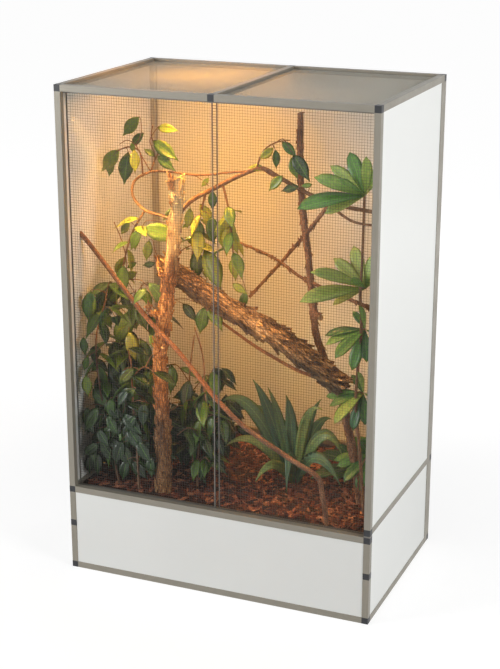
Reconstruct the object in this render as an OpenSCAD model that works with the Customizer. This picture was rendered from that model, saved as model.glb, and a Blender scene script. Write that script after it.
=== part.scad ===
// Tall planted terrarium for a climbing reptile.
// Square aluminium tubes are pushed onto plastic connectors. Rigid panels close the base,
// the sides and the back. Two mesh doors slide in front, and two mesh panels close the top.
// Millimetres, +Z up, +X right, front towards -Y. The origin is the middle of the footprint.

/* [Overall size] */
// Width over the tubes
width = 1000; // [800:10:1400]
// Depth over the tubes
depth = 640; // [540:10:800]
// Height over the tubes
height = 1550; // [1300:10:1900]

/* [Tubes and connectors] */
// Outer side of the square tube
tube = 20; // [18:0.5:25]
// Wall of the square tube
tube_wall = 1.5; // [1:0.25:2]
// Bevel on the long edges of a tube
tube_bevel = 0.6; // [0.2:0.1:0.9]
// Length of a connector's plug arm
arm_len = 25; // [18:1:40]
// Play of a plug arm in the tube, each side
plug_fit = 0.1; // [0.05:0.05:0.3]
// Thickness of a plug arm's ribs
rib = 4; // [2.5:0.5:6]
// Depth of the pocket that joins two stacked connectors
pocket = 12; // [8:1:15]

/* [Levels] */
// Underside of the front middle rail
base_h = 262; // [230:2:320]
// Underside of the joiners in the front posts of the base
joiner_h = 146; // [120:2:180]
// Height of the spacer between two stacked connectors
spacer_h = 5; // [2:0.5:10]
// Top of the floor panel
floor_h = 170; // [150:2:200]
// How far the bark stays below the top of the front middle rail
bark_drop = 2; // [1:1:20]

/* [Panels] */
// Thickness of a white panel
panel_t = 4; // [3:0.5:6]
// Thickness of the fins on the posts that hold the panels
fin_t = 1.5; // [1:0.25:2.5]
// Width of a fin behind a panel
fin_in = 4; // [3:1:20]
// Width of the fin over the outside of a panel at the rear posts
fin_out = 25; // [10:1:35]
// Leg of the angle that carries the floor panel
ledge = 15; // [10:1:25]
// Thickness of the floor panel
floor_t = 4; // [3:0.5:8]
// Play around the floor panel and the bark
floor_gap = 0.5; // [0.3:0.1:2]

/* [Sliding doors] */
// Face width of a door's edge channel
channel = 3; // [3:0.5:8]
// Thickness of a door
door_t = 4; // [3:0.25:5]
// How far the doors overlap in the middle
overlap = 15; // [8:1:40]
// Wall of the double track
track_wall = 1.5; // [1:0.25:2.5]
// Height of the double track
track_h = 6; // [5:0.5:9]
// Play of a door in its groove, each side
groove_fit = 0.4; // [0.2:0.1:0.8]
// Play above, below and at the ends of a door
door_gap = 0.5; // [0.3:0.1:1]
// Height of the flange that carries the top track
flange_h = 7; // [4:0.5:9]

/* [Mesh] */
// Distance between wires
pitch = 8; // [6:0.5:20]
// Wire thickness
wire = 0.8; // [0.6:0.1:1]
// Gap between the two layers of wires
layer_gap = 0.1; // [0.05:0.05:0.2]
// Width of the edge strip that carries the wires
selvedge = 2.4; // [2:0.1:3]
// Play of the edge strip in its channel, each side
mesh_fit = 0.1; // [0.05:0.05:0.2]

/* [Top] */
// Ledge that a top mesh panel lies on
top_ledge = 8; // [5:1:12]
// Height of that ledge's top above the underside of the rail
top_seat = 8.5; // [8.5:0.5:10]
// Play around a top mesh panel
top_gap = 1; // [0.5:0.5:3]

/* [Planting] */
// Length of a ficus leaf
ficus_leaf = 92; // [60:1:110]
// Width of a ficus leaf, as a share of its length
ficus_width = 0.44; // [0.3:0.01:0.6]
// How far ficus leaves hang down at most, degrees
ficus_hang = 75; // [40:1:80]
// Length of an umbrella plant leaflet
umbrella_leaf = 98; // [60:1:110]
// Width of an umbrella plant leaflet, as a share of its length
umbrella_width = 0.34; // [0.2:0.01:0.45]
// Length of a strap leaf
strap_leaf = 330; // [200:5:380]
// Width of a strap leaf, as a share of its length
strap_width = 0.14; // [0.08:0.01:0.2]
// Thickness of a leaf
leaf_t = 0.8; // [0.6:0.1:1.5]
// Radius of the upright trunk at its foot
trunk_r = 21; // [15:0.5:26]
// Radius of the cork log
log_r = 27; // [20:0.5:30]
// Gap that is left where one branch is cut to lie on another
saddle_gap = 0.2; // [0.1:0.1:1]

/* [Hidden] */

half_w = width / 2;
half_d = depth / 2;
post_x = half_w - tube / 2;          // centre of a post
post_y = half_d - tube / 2;
in_x = half_w - tube;                // inner face of a post
in_y = half_d - tube;
bore = tube - 2 * tube_wall;
arm = bore - 2 * plug_fit;
side_h = base_h + tube + spacer_h;   // underside of the right and rear middle rails
top_h = height - tube;               // underside of the top rails
panel_x = half_w - fin_t - panel_t;  // inner face of a side panel
panel_y = half_d - fin_t - panel_t;  // inner face of the front and rear panels
free_x = panel_x - fin_t;            // inner face of the fins
free_y = panel_y - fin_t;
bark_top = base_h + tube - bark_drop;

groove = door_t + 2 * groove_fit;
track_w = 3 * track_wall + 2 * groove;
track_end = in_x - door_gap;                     // outer end of a track
run = track_end - track_wall;                    // inner face of a track's end stop
front_groove_y = -in_y + track_wall + groove / 2;
rear_groove_y = front_groove_y + groove + track_wall;
track_back = -in_y + track_w;
door_w = run - door_gap + overlap / 2;
door_z = base_h + tube - track_h + track_wall + door_gap;
door_h = top_h - door_gap - track_wall - door_z;
slot = 2 * wire + layer_gap + 2 * mesh_fit;      // slot of an edge channel

bay_w = in_x - tube / 2;                         // clear width of one half of the top
top_panel_w = bay_w - 2 * top_gap;
top_panel_d = 2 * in_y - 2 * top_gap;
ledge_z = top_h + top_seat;

// ---------------------------------------------------------------- routes of wood and stems
// The routes are written for this interior, as [across, back, above the bark], and stretch with it.
plan_room = [989, 629, 1250];
room = [2 * panel_x, 2 * panel_y, top_h - bark_top];
function in_room(p) = [
    p.x * room.x / plan_room.x, p.y * room.y / plan_room.y, bark_top + p.z * room.z / plan_room.z];
function route(list) = [for (p = list) in_room(p)];

trunk_route = route([[-210, -235, -20], [-215, -222, 200], [-225, -210, 390], [-220, -202, 520],
    [-195, -190, 710], [-180, -178, 880], [-180, -170, 990]]);
perch_route = route([[-505, -200, 805], [-455, -205, 760], [-265, -232, 570], [-150, -245, 475],
    [30, -252, 295], [205, -258, 195], [310, -262, 145], [328, -262, 95], [345, -262, -10]]);
fork_route = route([[140, 20, 1175], [145, 10, 1020], [160, 0, 870], [185, -15, 735],
    [205, -32, 615], [228, -52, 510], [290, -72, 380], [330, -76, 290], [370, -80, 120],
    [395, -90, -20]]);
upper_limb_route = route([[255, -40, 920], [190, -20, 835], [90, 20, 720], [-40, 60, 575]]);
lower_limb_route = route([[-60, 30, 755], [60, 20, 720], [155, 0, 675], [260, -60, 665],
    [405, -120, 645], [510, -165, 630]]);
log_route = route([[-235, -152, 705], [-40, -138, 600], [135, -128, 515], [335, -112, 385]]);
slim_route = route([[-75, -88, 530], [25, -86, 472], [90, -84, 440], [190, -84, 400],
    [290, -72, 381]]);
vine_route = route([[-185, -165, 870], [-165, -140, 900], [-145, -115, 920], [-100, -100, 945],
    [-65, -90, 965], [-10, -90, 995], [55, -80, 1020], [100, -70, 1000], [165, -60, 965],
    [235, -75, 945], [305, -100, 935], [420, -140, 935], [510, -170, 935]]);
vine_loop_route = route([[-195, -170, 860], [-240, -150, 865], [-310, -125, 870],
    [-360, -105, 905], [-360, -90, 950], [-310, -80, 980], [-250, -80, 985], [-140, -85, 985],
    [-50, -85, 1000], [20, -85, 1010]]);
vine_twig_route = route([[265, -85, 935], [350, -110, 895], [430, -140, 895]]);
sprig_left_route = route([[-335, -85, 965], [-340, -90, 1040], [-375, -95, 1055],
    [-415, -95, 1040]]);
sprig_right_route = route([[-310, -80, 980], [-295, -85, 1015], [-280, -85, 1050],
    [-300, -90, 1090], [-295, -90, 1125]]);
sprig_mid_route = route([[40, -80, 1015], [60, -80, 1070], [100, -75, 1100], [145, -75, 1110]]);
shoot_left_route = route([[-310, -125, 870], [-345, -145, 800], [-370, -150, 720], [-385, -155, 640]]);
shoot_mid_route = route([[-115, -105, 935], [-130, -110, 870], [-145, -120, 790], [-160, -125, 705]]);
shoot_right_route = route([[-65, -90, 965], [-40, -110, 905], [-25, -120, 835], [-15, -125, 740]]);
ficus_a_route = route([[-365, -235, -20], [-390, -240, 145], [-425, -235, 305], [-440, -225, 465],
    [-405, -215, 600]]);
ficus_b_route = route([[-330, -120, -20], [-345, -135, 150], [-365, -145, 320], [-365, -150, 485],
    [-335, -150, 620]]);
ficus_c_route = route([[-290, -250, -20], [-295, -245, 120], [-310, -235, 260], [-320, -225, 420]]);
ficus_d_route = route([[-130, -160, -20], [-120, -160, 165], [-105, -158, 295], [-100, -165, 425],
    [-115, -195, 540]]);
ficus_e_route = route([[-150, -130, -20], [-165, -120, 160], [-175, -110, 330], [-160, -100, 480]]);
umbrella_route = route([[425, -150, -20], [405, -148, 200], [388, -145, 355], [398, -140, 575],
    [394, -142, 690], [390, -120, 800], [385, -98, 990]]);

function hash(i, k = 0) = let(v = sin(i * 127.1 + k * 311.7) * 4373.51) v - floor(v);
function unit(v) = v / norm(v);
function bend(a, b, c, d, t) = 0.5 * (2 * b + (c - a) * t + (2 * a - 5 * b + 4 * c - d) * t * t
    + (3 * b - a - 3 * c + d) * t * t * t);
function smooth(pts, n = 3) = let(last = len(pts) - 1) concat(
    [for (i = [0:last - 1], s = [0:n - 1])
        bend(pts[max(i - 1, 0)], pts[i], pts[i + 1], pts[min(i + 2, last)], s / n)],
    [pts[last]]);
function at(pts, t) = let(n = len(pts) - 1, i = min(floor(t * n), n - 1), f = t * n - i)
    pts[i] * (1 - f) + pts[i + 1] * f;
function to_segment(p, a, b) = let(ab = b - a, t = max(0, min(1, (p - a) * ab / (ab * ab))))
    norm(p - a - t * ab);
function to_route(p, pts) = min([for (i = [0:len(pts) - 2]) to_segment(p, pts[i], pts[i + 1])]);

perch_r = 8;
fork_r = 11;
limb_r = 6;
slim_r = 6;
vine_r = 7;
loop_r = 4.5;
stem_r = 4;
crown_r = 9;      // radius of the strap-leaf plant's crown
sheath_h = 30;    // height of its leaf sheaths
WOOD = [[trunk_route, trunk_r], [perch_route, perch_r], [fork_route, fork_r],
    [upper_limb_route, limb_r], [lower_limb_route, limb_r], [log_route, log_r],
    [slim_route, slim_r]];
VINE = [[vine_route, vine_r], [vine_loop_route, loop_r], [vine_twig_route, limb_r],
    [shoot_left_route, stem_r], [shoot_mid_route, stem_r], [shoot_right_route, stem_r]];
function clear_of(p, wood, room_left) =
    min([for (w = wood) to_route(p, w[0]) - w[1]]) > room_left;
wall_gap = 4;
function inside(p) = abs(p.x) < free_x - wall_gap && p.y < free_y - wall_gap
    && p.y > track_back + wall_gap && p.z > bark_top + wall_gap && p.z < top_h - wall_gap;

// ---------------------------------------------------------------- shared shapes
module tube_outline() {
    s = tube / 2;
    b = tube_bevel;
    difference() {
        polygon([[s - b, -s], [s, b - s], [s, s - b], [s - b, s],
            [b - s, s], [-s, s - b], [-s, b - s], [b - s, -s]]);
        square(bore, center = true);
    }
}

// A tube from one point along X or Y, with ledges on the sides listed as -1 or 1
module rail_x(x0, x1, y, z) {
    color("darkgray") translate([x0, y, z + tube / 2]) rotate([90, 0, 90])
        linear_extrude(x1 - x0) tube_outline();
}

module rail_y(y0, y1, x, z, ledges = []) {
    color("darkgray") translate([x, y0, z + tube / 2]) rotate([90, 0, 180])
        linear_extrude(y1 - y0) {
            tube_outline();
            for (side = ledges)
                translate([side > 0 ? -tube / 2 - top_ledge : tube / 2, top_seat - tube / 2 - fin_t])
                    square([top_ledge, fin_t]);
        }
}

// One length of a front left post, seen from above; the other posts are mirror images.
// in_fins and out_fins name the panels it holds, "side" or "face".
module post_outline(in_fins, out_fins = []) {
    s = tube / 2;
    inner = panel_x - post_x;
    tube_outline();
    for (f = in_fins) mirror(f == "side" ? [0, 0] : [1, -1])
        translate([-inner, s]) square([fin_t, fin_in]);
    for (f = out_fins) mirror(f == "side" ? [0, 0] : [1, -1])
        translate([-s, s]) square([fin_t, fin_out]);
}

module post(x_side, y_side, z0, z1, in_fins, out_fins = []) {
    color("darkgray") translate([x_side * post_x, y_side * post_y, z0])
        mirror([x_side > 0 ? 1 : 0, 0, 0]) mirror([0, y_side > 0 ? 1 : 0, 0])
            linear_extrude(z1 - z0) post_outline(in_fins, out_fins);
}

// A ribbed plug arm that starts on the connector's face
module plug(length) {
    lead = 2;
    for (turn = [0, 90]) rotate([0, 0, turn]) {
        translate([-arm / 2, -rib / 2, tube / 2]) cube([arm, rib, length - lead]);
        translate([-arm / 2 + lead / 2, -rib / 2, tube / 2]) cube([arm - lead, rib, length]);
    }
}

// directions: list of axis vectors that the connector has arms on
function turn_to(d) = d.x != 0 ? [0, 90 * d.x, 0] : d.y != 0 ? [-90 * d.y, 0, 0]
    : [d.z < 0 ? 180 : 0, 0, 0];
module connector(at_point, directions, arms = arm_len) {
    color("black") translate(at_point) {
        cube(tube, center = true);
        for (d = directions) rotate(turn_to(d)) plug(arms);
    }
}

module angle_bar(length) {
    translate([0, 0, -ledge]) cube([length, fin_t, ledge]);
    translate([0, 0, -fin_t]) cube([length, ledge, fin_t]);
}

// A rectangular panel edge channel, w by h in the XZ plane, slotted on its inside
module edge_frame(w, h) {
    deep = selvedge - channel / 4;
    color("silver") translate([0, -door_t / 2, 0]) difference() {
        cube([w, door_t, h]);
        translate([channel, -1, channel]) cube([w - 2 * channel, door_t + 2, h - 2 * channel]);
        translate([channel - deep, door_t / 2 - slot / 2, channel - deep])
            cube([w - 2 * (channel - deep), slot, h - 2 * (channel - deep)]);
    }
}

// The mesh that sits in edge_frame(w, h): two layers of wires on a thin edge strip
module wire_mesh(w, h) {
    edge = channel - (selvedge - channel / 4) + mesh_fit;
    mw = w - 2 * edge;
    mh = h - 2 * edge;
    thick = 2 * wire + layer_gap;
    strip = selvedge - 2 * mesh_fit;
    columns = floor((mw - strip) / pitch);
    rows = floor((mh - strip) / pitch);
    layer = (wire + layer_gap) / 2;
    color("gray") translate([edge, 0, edge]) {
        difference() {
            translate([0, -thick / 2, 0]) cube([mw, thick, mh]);
            translate([strip, -thick, strip]) cube([mw - 2 * strip, 2 * thick, mh - 2 * strip]);
        }
        for (i = [1:columns - 1])
            translate([mw / 2 + (i - columns / 2) * pitch, -layer, strip / 2])
                cylinder(d = wire, h = mh - strip, $fn = 6);
        for (j = [1:rows - 1])
            translate([strip / 2, layer, mh / 2 + (j - rows / 2) * pitch]) rotate([0, 90, 0])
                cylinder(d = wire, h = mw - strip, $fn = 6);
    }
}

// The double track along X, with grooves that open upwards, from z = 0
module double_track() {
    color("silver") translate([-track_end, -in_y, 0]) {
        difference() {
            cube([2 * track_end, track_w, track_h]);
            for (n = [0, 1])
                translate([track_wall, track_wall + n * (groove + track_wall), track_wall])
                    cube([2 * run, groove, track_h]);
        }
    }
}

module panel_xz(x0, x1, y, z0, z1) {
    color("white") translate([x0, y, z0]) cube([x1 - x0, panel_t, z1 - z0]);
}

module panel_yz(x, z0, z1) {
    color("white") translate([x, -in_y, z0]) cube([panel_t, 2 * in_y, z1 - z0]);
}

// ---------------------------------------------------------------- frame
module bottom_front_rail() rail_x(-in_x, in_x, -post_y, 0);
module bottom_rear_rail() rail_x(-in_x, in_x, post_y, 0);
module bottom_left_rail() rail_y(-in_y, in_y, -post_x, 0);
module bottom_right_rail() rail_y(-in_y, in_y, post_x, 0);
module middle_front_rail() rail_x(-in_x, in_x, -post_y, base_h);
module middle_rear_rail() rail_x(-in_x, in_x, post_y, side_h);
module middle_left_rail() rail_y(-in_y, in_y, -post_x, base_h);
module middle_right_rail() rail_y(-in_y, in_y, post_x, side_h);
module top_front_left_rail() rail_x(-in_x, -tube / 2, -post_y, top_h);
module top_front_right_rail() rail_x(tube / 2, in_x, -post_y, top_h);
module top_rear_left_rail() rail_x(-in_x, -tube / 2, post_y, top_h);
module top_rear_right_rail() rail_x(tube / 2, in_x, post_y, top_h);
module top_left_rail() rail_y(-in_y, in_y, -post_x, top_h, [1]);
module top_right_rail() rail_y(-in_y, in_y, post_x, top_h, [-1]);
module top_cross_bar() rail_y(-in_y, in_y, 0, top_h, [-1, 1]);

module front_left_post() {
    post(-1, -1, tube, joiner_h, ["side", "face"]);
    post(-1, -1, joiner_h + tube, base_h, ["side", "face"]);
    post(-1, -1, base_h + tube, top_h, ["side"]);
}
module front_right_post() {
    post(1, -1, tube, joiner_h, ["side", "face"]);
    post(1, -1, joiner_h + tube, base_h, ["side", "face"]);
    post(1, -1, side_h + tube, top_h, ["side"]);
}
module rear_left_post() {
    post(-1, 1, tube, base_h, ["side", "face"], ["side", "face"]);
    post(-1, 1, side_h + tube, top_h, ["side", "face"], ["side", "face"]);
}
module rear_right_post() {
    post(1, 1, tube, side_h, ["side", "face"], ["side", "face"]);
    post(1, 1, side_h + tube, top_h, ["side", "face"], ["side", "face"]);
}

module bottom_corner_connectors() {
    for (sx = [-1, 1], sy = [-1, 1])
        connector([sx * post_x, sy * post_y, tube / 2], [[-sx, 0, 0], [0, -sy, 0], [0, 0, 1]]);
}
module post_joiners() {
    for (sx = [-1, 1])
        connector([sx * post_x, -post_y, joiner_h + tube / 2], [[0, 0, 1], [0, 0, -1]]);
}
module front_left_middle_connector() {
    connector([-post_x, -post_y, base_h + tube / 2],
        [[1, 0, 0], [0, 1, 0], [0, 0, 1], [0, 0, -1]]);
}
module rear_right_middle_connector() {
    connector([post_x, post_y, side_h + tube / 2],
        [[-1, 0, 0], [0, -1, 0], [0, 0, 1], [0, 0, -1]]);
}
// Where the front and the right rails, or the left and the rear rails, meet at two levels,
// one connector stands on the other and plugs into its pocket
module lower_stacked_connectors() {
    for (s = [-1, 1]) difference() {
        connector([s * post_x, -s * post_y, base_h + tube / 2],
            [s > 0 ? [-1, 0, 0] : [0, -1, 0], [0, 0, -1]]);
        translate([s * post_x - bore / 2, -s * post_y - bore / 2, base_h + tube - pocket])
            cube([bore, bore, pocket + 1]);
    }
}
module upper_stacked_connectors() {
    for (s = [-1, 1]) {
        connector([s * post_x, -s * post_y, side_h + tube / 2],
            [s > 0 ? [0, 1, 0] : [1, 0, 0], [0, 0, 1]]);
        color("black") translate([s * post_x, -s * post_y, side_h + tube / 2])
            rotate([180, 0, 0]) plug(spacer_h + pocket - door_gap);
    }
}
module spacers() {
    color("silver") for (s = [-1, 1]) translate([s * post_x, -s * post_y, base_h + tube])
        linear_extrude(spacer_h) tube_outline();
}
module top_corner_connectors() {
    for (sx = [-1, 1], sy = [-1, 1])
        connector([sx * post_x, sy * post_y, top_h + tube / 2],
            [[-sx, 0, 0], [0, -sy, 0], [0, 0, -1]]);
}
module top_tee_connectors() {
    for (sy = [-1, 1])
        connector([0, sy * post_y, top_h + tube / 2], [[1, 0, 0], [-1, 0, 0], [0, -sy, 0]]);
}

// ---------------------------------------------------------------- panels and floor
module base_front_panel() panel_xz(-in_x, in_x, -panel_y - panel_t, tube, base_h);
module base_rear_panel() panel_xz(-in_x, in_x, panel_y, tube, side_h);
module base_left_panel() panel_yz(-panel_x - panel_t, tube, base_h);
module base_right_panel() panel_yz(panel_x, tube, side_h);
module left_wall_panel() panel_yz(-panel_x - panel_t, base_h + tube, top_h);
module right_wall_panel() panel_yz(panel_x, side_h + tube, top_h);
module rear_wall_panel() panel_xz(-in_x, in_x, panel_y, side_h + tube, top_h);

// Keeps the floor and the bark clear of the four posts
module post_notches(z0, z1) {
    nx = in_x - floor_gap;
    ny = in_y - floor_gap;
    for (sx = [-1, 1], sy = [-1, 1]) mirror([sx > 0 ? 0 : 1, 0, 0]) mirror([0, sy > 0 ? 0 : 1, 0])
        translate([nx, ny, z0]) cube([tube + 1, tube + 1, z1 - z0]);
}

module floor_panel() {
    fx = free_x - floor_gap;
    fy = free_y - floor_gap;
    color("gainsboro") difference() {
        translate([-fx, -fy, floor_h - floor_t]) cube([2 * fx, 2 * fy, floor_t]);
        post_notches(floor_h - floor_t - 1, floor_h + 1);
    }
}

module floor_ledges() {
    seat = floor_h - floor_t;
    along_x = in_x - fin_in - ledge;
    along_y = in_y - fin_in - ledge;
    color("silver") for (turn = [0, 180]) rotate([0, 0, turn]) {
        translate([-along_x, -panel_y, seat]) angle_bar(2 * along_x);
        translate([panel_x, -along_y, seat]) rotate([0, 0, 90]) angle_bar(2 * along_y);
    }
}

// The bark lies on the floor panel, behind the front rail and the bottom track
module bark_bed() {
    fx = free_x - floor_gap;
    back = free_y - floor_gap;
    rail_under = base_h - floor_gap;
    track_under = base_h + tube - track_h - floor_gap;
    color("saddlebrown") difference() {
        translate([-fx, 0, 0]) rotate([90, 0, 90]) linear_extrude(2 * fx) polygon([
            [-back, floor_h], [back, floor_h], [back, bark_top],
            [track_back + floor_gap, bark_top], [track_back + floor_gap, track_under],
            [-in_y + floor_gap, track_under], [-in_y + floor_gap, rail_under],
            [-back, rail_under]]);
        post_notches(floor_h - 1, bark_top + 1);
        translate([-half_w, -half_d, rail_under]) cube([tube + floor_gap, depth, tube + 1]);
    }
}

// ---------------------------------------------------------------- doors, tracks and top
module bottom_track() translate([0, 0, base_h + tube - track_h]) double_track();

module top_track() {
    translate([0, 0, top_h]) mirror([0, 0, 1]) double_track();
    color("silver") for (s = [0, 1]) mirror([s, 0, 0])
        translate([tube / 2 + top_gap, -in_y, top_h - track_wall])
            cube([bay_w - 2 * top_gap, track_wall, flange_h + track_wall]);
}

module left_door() translate([-run + door_gap, rear_groove_y, door_z]) children();
module right_door() translate([run - door_gap - door_w, front_groove_y, door_z]) children();
module left_door_frame() left_door() edge_frame(door_w, door_h);
module left_door_mesh() left_door() wire_mesh(door_w, door_h);
module right_door_frame() right_door() edge_frame(door_w, door_h);
module right_door_mesh() right_door() wire_mesh(door_w, door_h);

module top_bay(side) {
    translate([side > 0 ? tube / 2 + top_gap : -in_x + top_gap, in_y - top_gap,
        ledge_z + door_t / 2]) rotate([90, 0, 0]) children();
}
module top_left_frame() top_bay(-1) edge_frame(top_panel_w, top_panel_d);
module top_left_mesh() top_bay(-1) wire_mesh(top_panel_w, top_panel_d);
module top_right_frame() top_bay(1) edge_frame(top_panel_w, top_panel_d);
module top_right_mesh() top_bay(1) wire_mesh(top_panel_w, top_panel_d);

// ---------------------------------------------------------------- wood
// The space that wood and plants are cut to: above the bark, between the panels
module planting_space() {
    translate([-panel_x, track_back + floor_gap, bark_top])
        cube([2 * panel_x, panel_y - track_back - floor_gap, top_h - bark_top]);
}

// A round branch along pts, r0 thick at its start and r1 at its end, with knotty sides
module branch(pts, r0, r1, sides = 8, knots = 0.12, seed = 1, grow = 0) {
    last = len(pts) - 1;
    rings = [for (i = [0:last])
        let(n = unit(pts[min(i + 1, last)] - pts[max(i - 1, 0)]),
            u = unit(cross(abs(n.z) < 0.9 ? [0, 0, 1] : [1, 0, 0], n)), v = cross(n, u),
            r = (r0 + (r1 - r0) * i / last) * (1 - knots / 2 + knots * hash(i, seed)))
        for (k = [0:sides - 1]) let(a = 360 * k / sides,
            q = r * (1 - knots / 2 + knots * hash(i * 17 + k, seed + 5)) + grow)
            pts[i] + q * (cos(a) * u + sin(a) * v)];
    skin = [for (i = [0:last - 1], k = [0:sides - 1])
        let(a = i * sides + k, b = i * sides + (k + 1) % sides)
        each [[a, a + sides, b + sides], [a, b + sides, b]]];
    polyhedron(rings, concat(skin, [[for (k = [0:sides - 1]) k]],
        [[for (k = [sides - 1:-1:0]) last * sides + k]]));
}

module trunk_shape(grow = 0) branch(smooth(trunk_route), trunk_r, trunk_r * 0.75, 10, 0.15, 3, grow);
module log_shape(grow = 0) branch(smooth(log_route), log_r * 0.95, log_r, 12, 0.16, 9, grow);
module fork_shape(grow = 0) branch(smooth(fork_route), fork_r * 0.85, fork_r * 1.2, 8, 0.12, 5, grow);

module upright_trunk() color("peru") intersection() {
    planting_space();
    trunk_shape();
}

module forked_branch() color("sienna") intersection() {
    planting_space();
    union() {
        fork_shape();
        branch(smooth(upper_limb_route), limb_r, limb_r * 0.8, 6, 0.1, 21);
        branch(smooth(lower_limb_route), limb_r * 0.7, limb_r, 6, 0.1, 22);
    }
}

module leaning_perch() color("rosybrown") intersection() {
    planting_space();
    branch(smooth(perch_route), perch_r * 0.85, perch_r, 8, 0.1, 7);
}

module cork_log() color("chocolate") difference() {
    log_shape();
    trunk_shape(saddle_gap);
    fork_shape(saddle_gap);
}

module slim_perch() color("tan") difference() {
    branch(smooth(slim_route), slim_r * 0.7, slim_r, 6, 0.1, 31);
    log_shape(saddle_gap);
    fork_shape(saddle_gap);
}

// ---------------------------------------------------------------- plants
// A leaf from the origin along +X
module leaf(l, w) {
    hull() linear_extrude(leaf_t) polygon([[0, 0], [0.4 * l, -w / 2], [0.74 * l, -0.3 * w],
        [l, 0], [0.74 * l, 0.3 * w], [0.4 * l, w / 2]]);
}

golden = 137.5;      // angle from one leaf to the next round a stem
seed_turn = 61;      // angle that each stem's leaves start further round
least_leaf = 0.75;   // smallest ficus leaf, as a share of ficus_leaf
leaf_spread = 0.45;  // how much larger the largest is
leaf_roll = 40;      // roll of a leaf about its midrib, over its whole range
function aim(az, lift) = [cos(az) * cos(lift), sin(az) * cos(lift), sin(lift)];

// Places along a leaf, each with the share of its width that other wood keeps clear of
leaf_spots = [[0.25, 0.25], [0.5, 0.5], [0.75, 0.34], [1, 0.05]];
function leaf_fits(p, way, w, others) = inside(p + way) && inside(p + way / 2)
    && min([for (s = leaf_spots) clear_of(p + s[0] * way, others, s[1] * w + 1) ? 1 : 0]) > 0;

// Leaves along a stem. A leaf that would meet the walls, the mesh or other wood isn't grown.
module leaves_on(pts, count, size, first, last, seed, others) {
    line = smooth(pts, 2);
    for (i = [0:count - 1]) {
        p = at(line, first + (last - first) * (i + 0.5) / count);
        az = golden * i + seed_turn * seed;
        lift = -ficus_hang * hash(i, seed);
        l = size * (least_leaf + leaf_spread * hash(i, seed + 3));
        w = l * ficus_width;
        if (leaf_fits(p, l * aim(az, lift), w, others))
            translate(p) rotate([0, 0, az]) rotate([0, -lift, 0])
                rotate([leaf_roll * (hash(i, seed + 7) - 0.5), 0, 0]) leaf(l, w);
    }
}

young_leaf = ficus_leaf * 0.85;
sprig_r = stem_r * 0.8;
module stem(pts, r, seed, tip = 0.55) branch(smooth(pts, 2), r, r * tip, 6, 0.06, seed);

module climbing_vine() color("olivedrab") difference() {
    intersection() {
        planting_space();
        union() {
            branch(smooth(vine_route, 2), vine_r * 1.1, vine_r * 0.8, 6, 0.1, 41);
            branch(smooth(vine_loop_route, 2), loop_r * 1.1, loop_r * 0.7, 6, 0.1, 43);
            branch(smooth(vine_twig_route), limb_r * 0.8, limb_r * 0.5, 6, 0.1, 42);
            stem(sprig_left_route, sprig_r, 44);
            stem(sprig_right_route, sprig_r, 45);
            stem(sprig_mid_route, sprig_r, 49);
            stem(shoot_left_route, stem_r, 46);
            stem(shoot_mid_route, stem_r, 47);
            stem(shoot_right_route, stem_r, 48);
            leaves_on(sprig_left_route, 8, young_leaf, 0.3, 1, 7, WOOD);
            leaves_on(sprig_right_route, 8, young_leaf, 0.3, 1, 2, WOOD);
            leaves_on(sprig_mid_route, 7, young_leaf, 0.2, 1, 8, WOOD);
            leaves_on(shoot_left_route, 9, ficus_leaf, 0.1, 1, 3, WOOD);
            leaves_on(shoot_mid_route, 11, ficus_leaf, 0.1, 1, 4, WOOD);
            leaves_on(shoot_right_route, 10, ficus_leaf, 0.1, 1, 5, WOOD);
            leaves_on(vine_route, 12, young_leaf, 0.5, 0.82, 6, WOOD);
        }
    }
    trunk_shape(saddle_gap);
}

module left_ficus() color("darkgreen") intersection() {
    planting_space();
    union() {
        stem(ficus_a_route, stem_r, 51);
        stem(ficus_b_route, stem_r, 52);
        stem(ficus_c_route, stem_r, 53);
        leaves_on(ficus_a_route, 26, ficus_leaf, 0.15, 1, 11, concat(WOOD, VINE));
        leaves_on(ficus_b_route, 26, ficus_leaf, 0.15, 1, 12, concat(WOOD, VINE));
        leaves_on(ficus_c_route, 18, ficus_leaf, 0.15, 1, 13, concat(WOOD, VINE));
    }
}

module middle_ficus() color("forestgreen") intersection() {
    planting_space();
    union() {
        stem(ficus_d_route, stem_r, 54);
        stem(ficus_e_route, stem_r, 55);
        leaves_on(ficus_d_route, 20, ficus_leaf, 0.15, 1, 14, concat(WOOD, VINE));
        leaves_on(ficus_e_route, 16, ficus_leaf, 0.15, 1, 15, concat(WOOD, VINE));
    }
}

// Leaflets stand round the umbrella plant's stem in whorls, the lowest at a share of its height
tiers = 5;
leaflets = 9;
lowest_tier = 0.28;
tier_turn = 17;
module umbrella_plant() color("green") intersection() {
    planting_space();
    union() {
        stem(umbrella_route, stem_r * 1.4, 61, 0.7);
        for (tier = [0:tiers - 1]) {
            p = at(smooth(umbrella_route, 2), lowest_tier + (1 - lowest_tier) * tier / (tiers - 1));
            for (k = [0:leaflets - 1]) {
                az = 360 / leaflets * k + tier_turn * tier;
                lift = 12 - 30 * hash(k, tier + 70);
                l = umbrella_leaf * (0.85 + 0.25 * hash(k, tier + 80));
                tip = p + l * aim(az, lift);
                if (inside(tip) && clear_of(p + 0.6 * l * aim(az, lift), concat(WOOD, VINE), l / 6))
                    translate(p) rotate([0, 0, az]) rotate([0, -lift, 0])
                        leaf(l, l * umbrella_width);
            }
        }
    }
}

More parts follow.
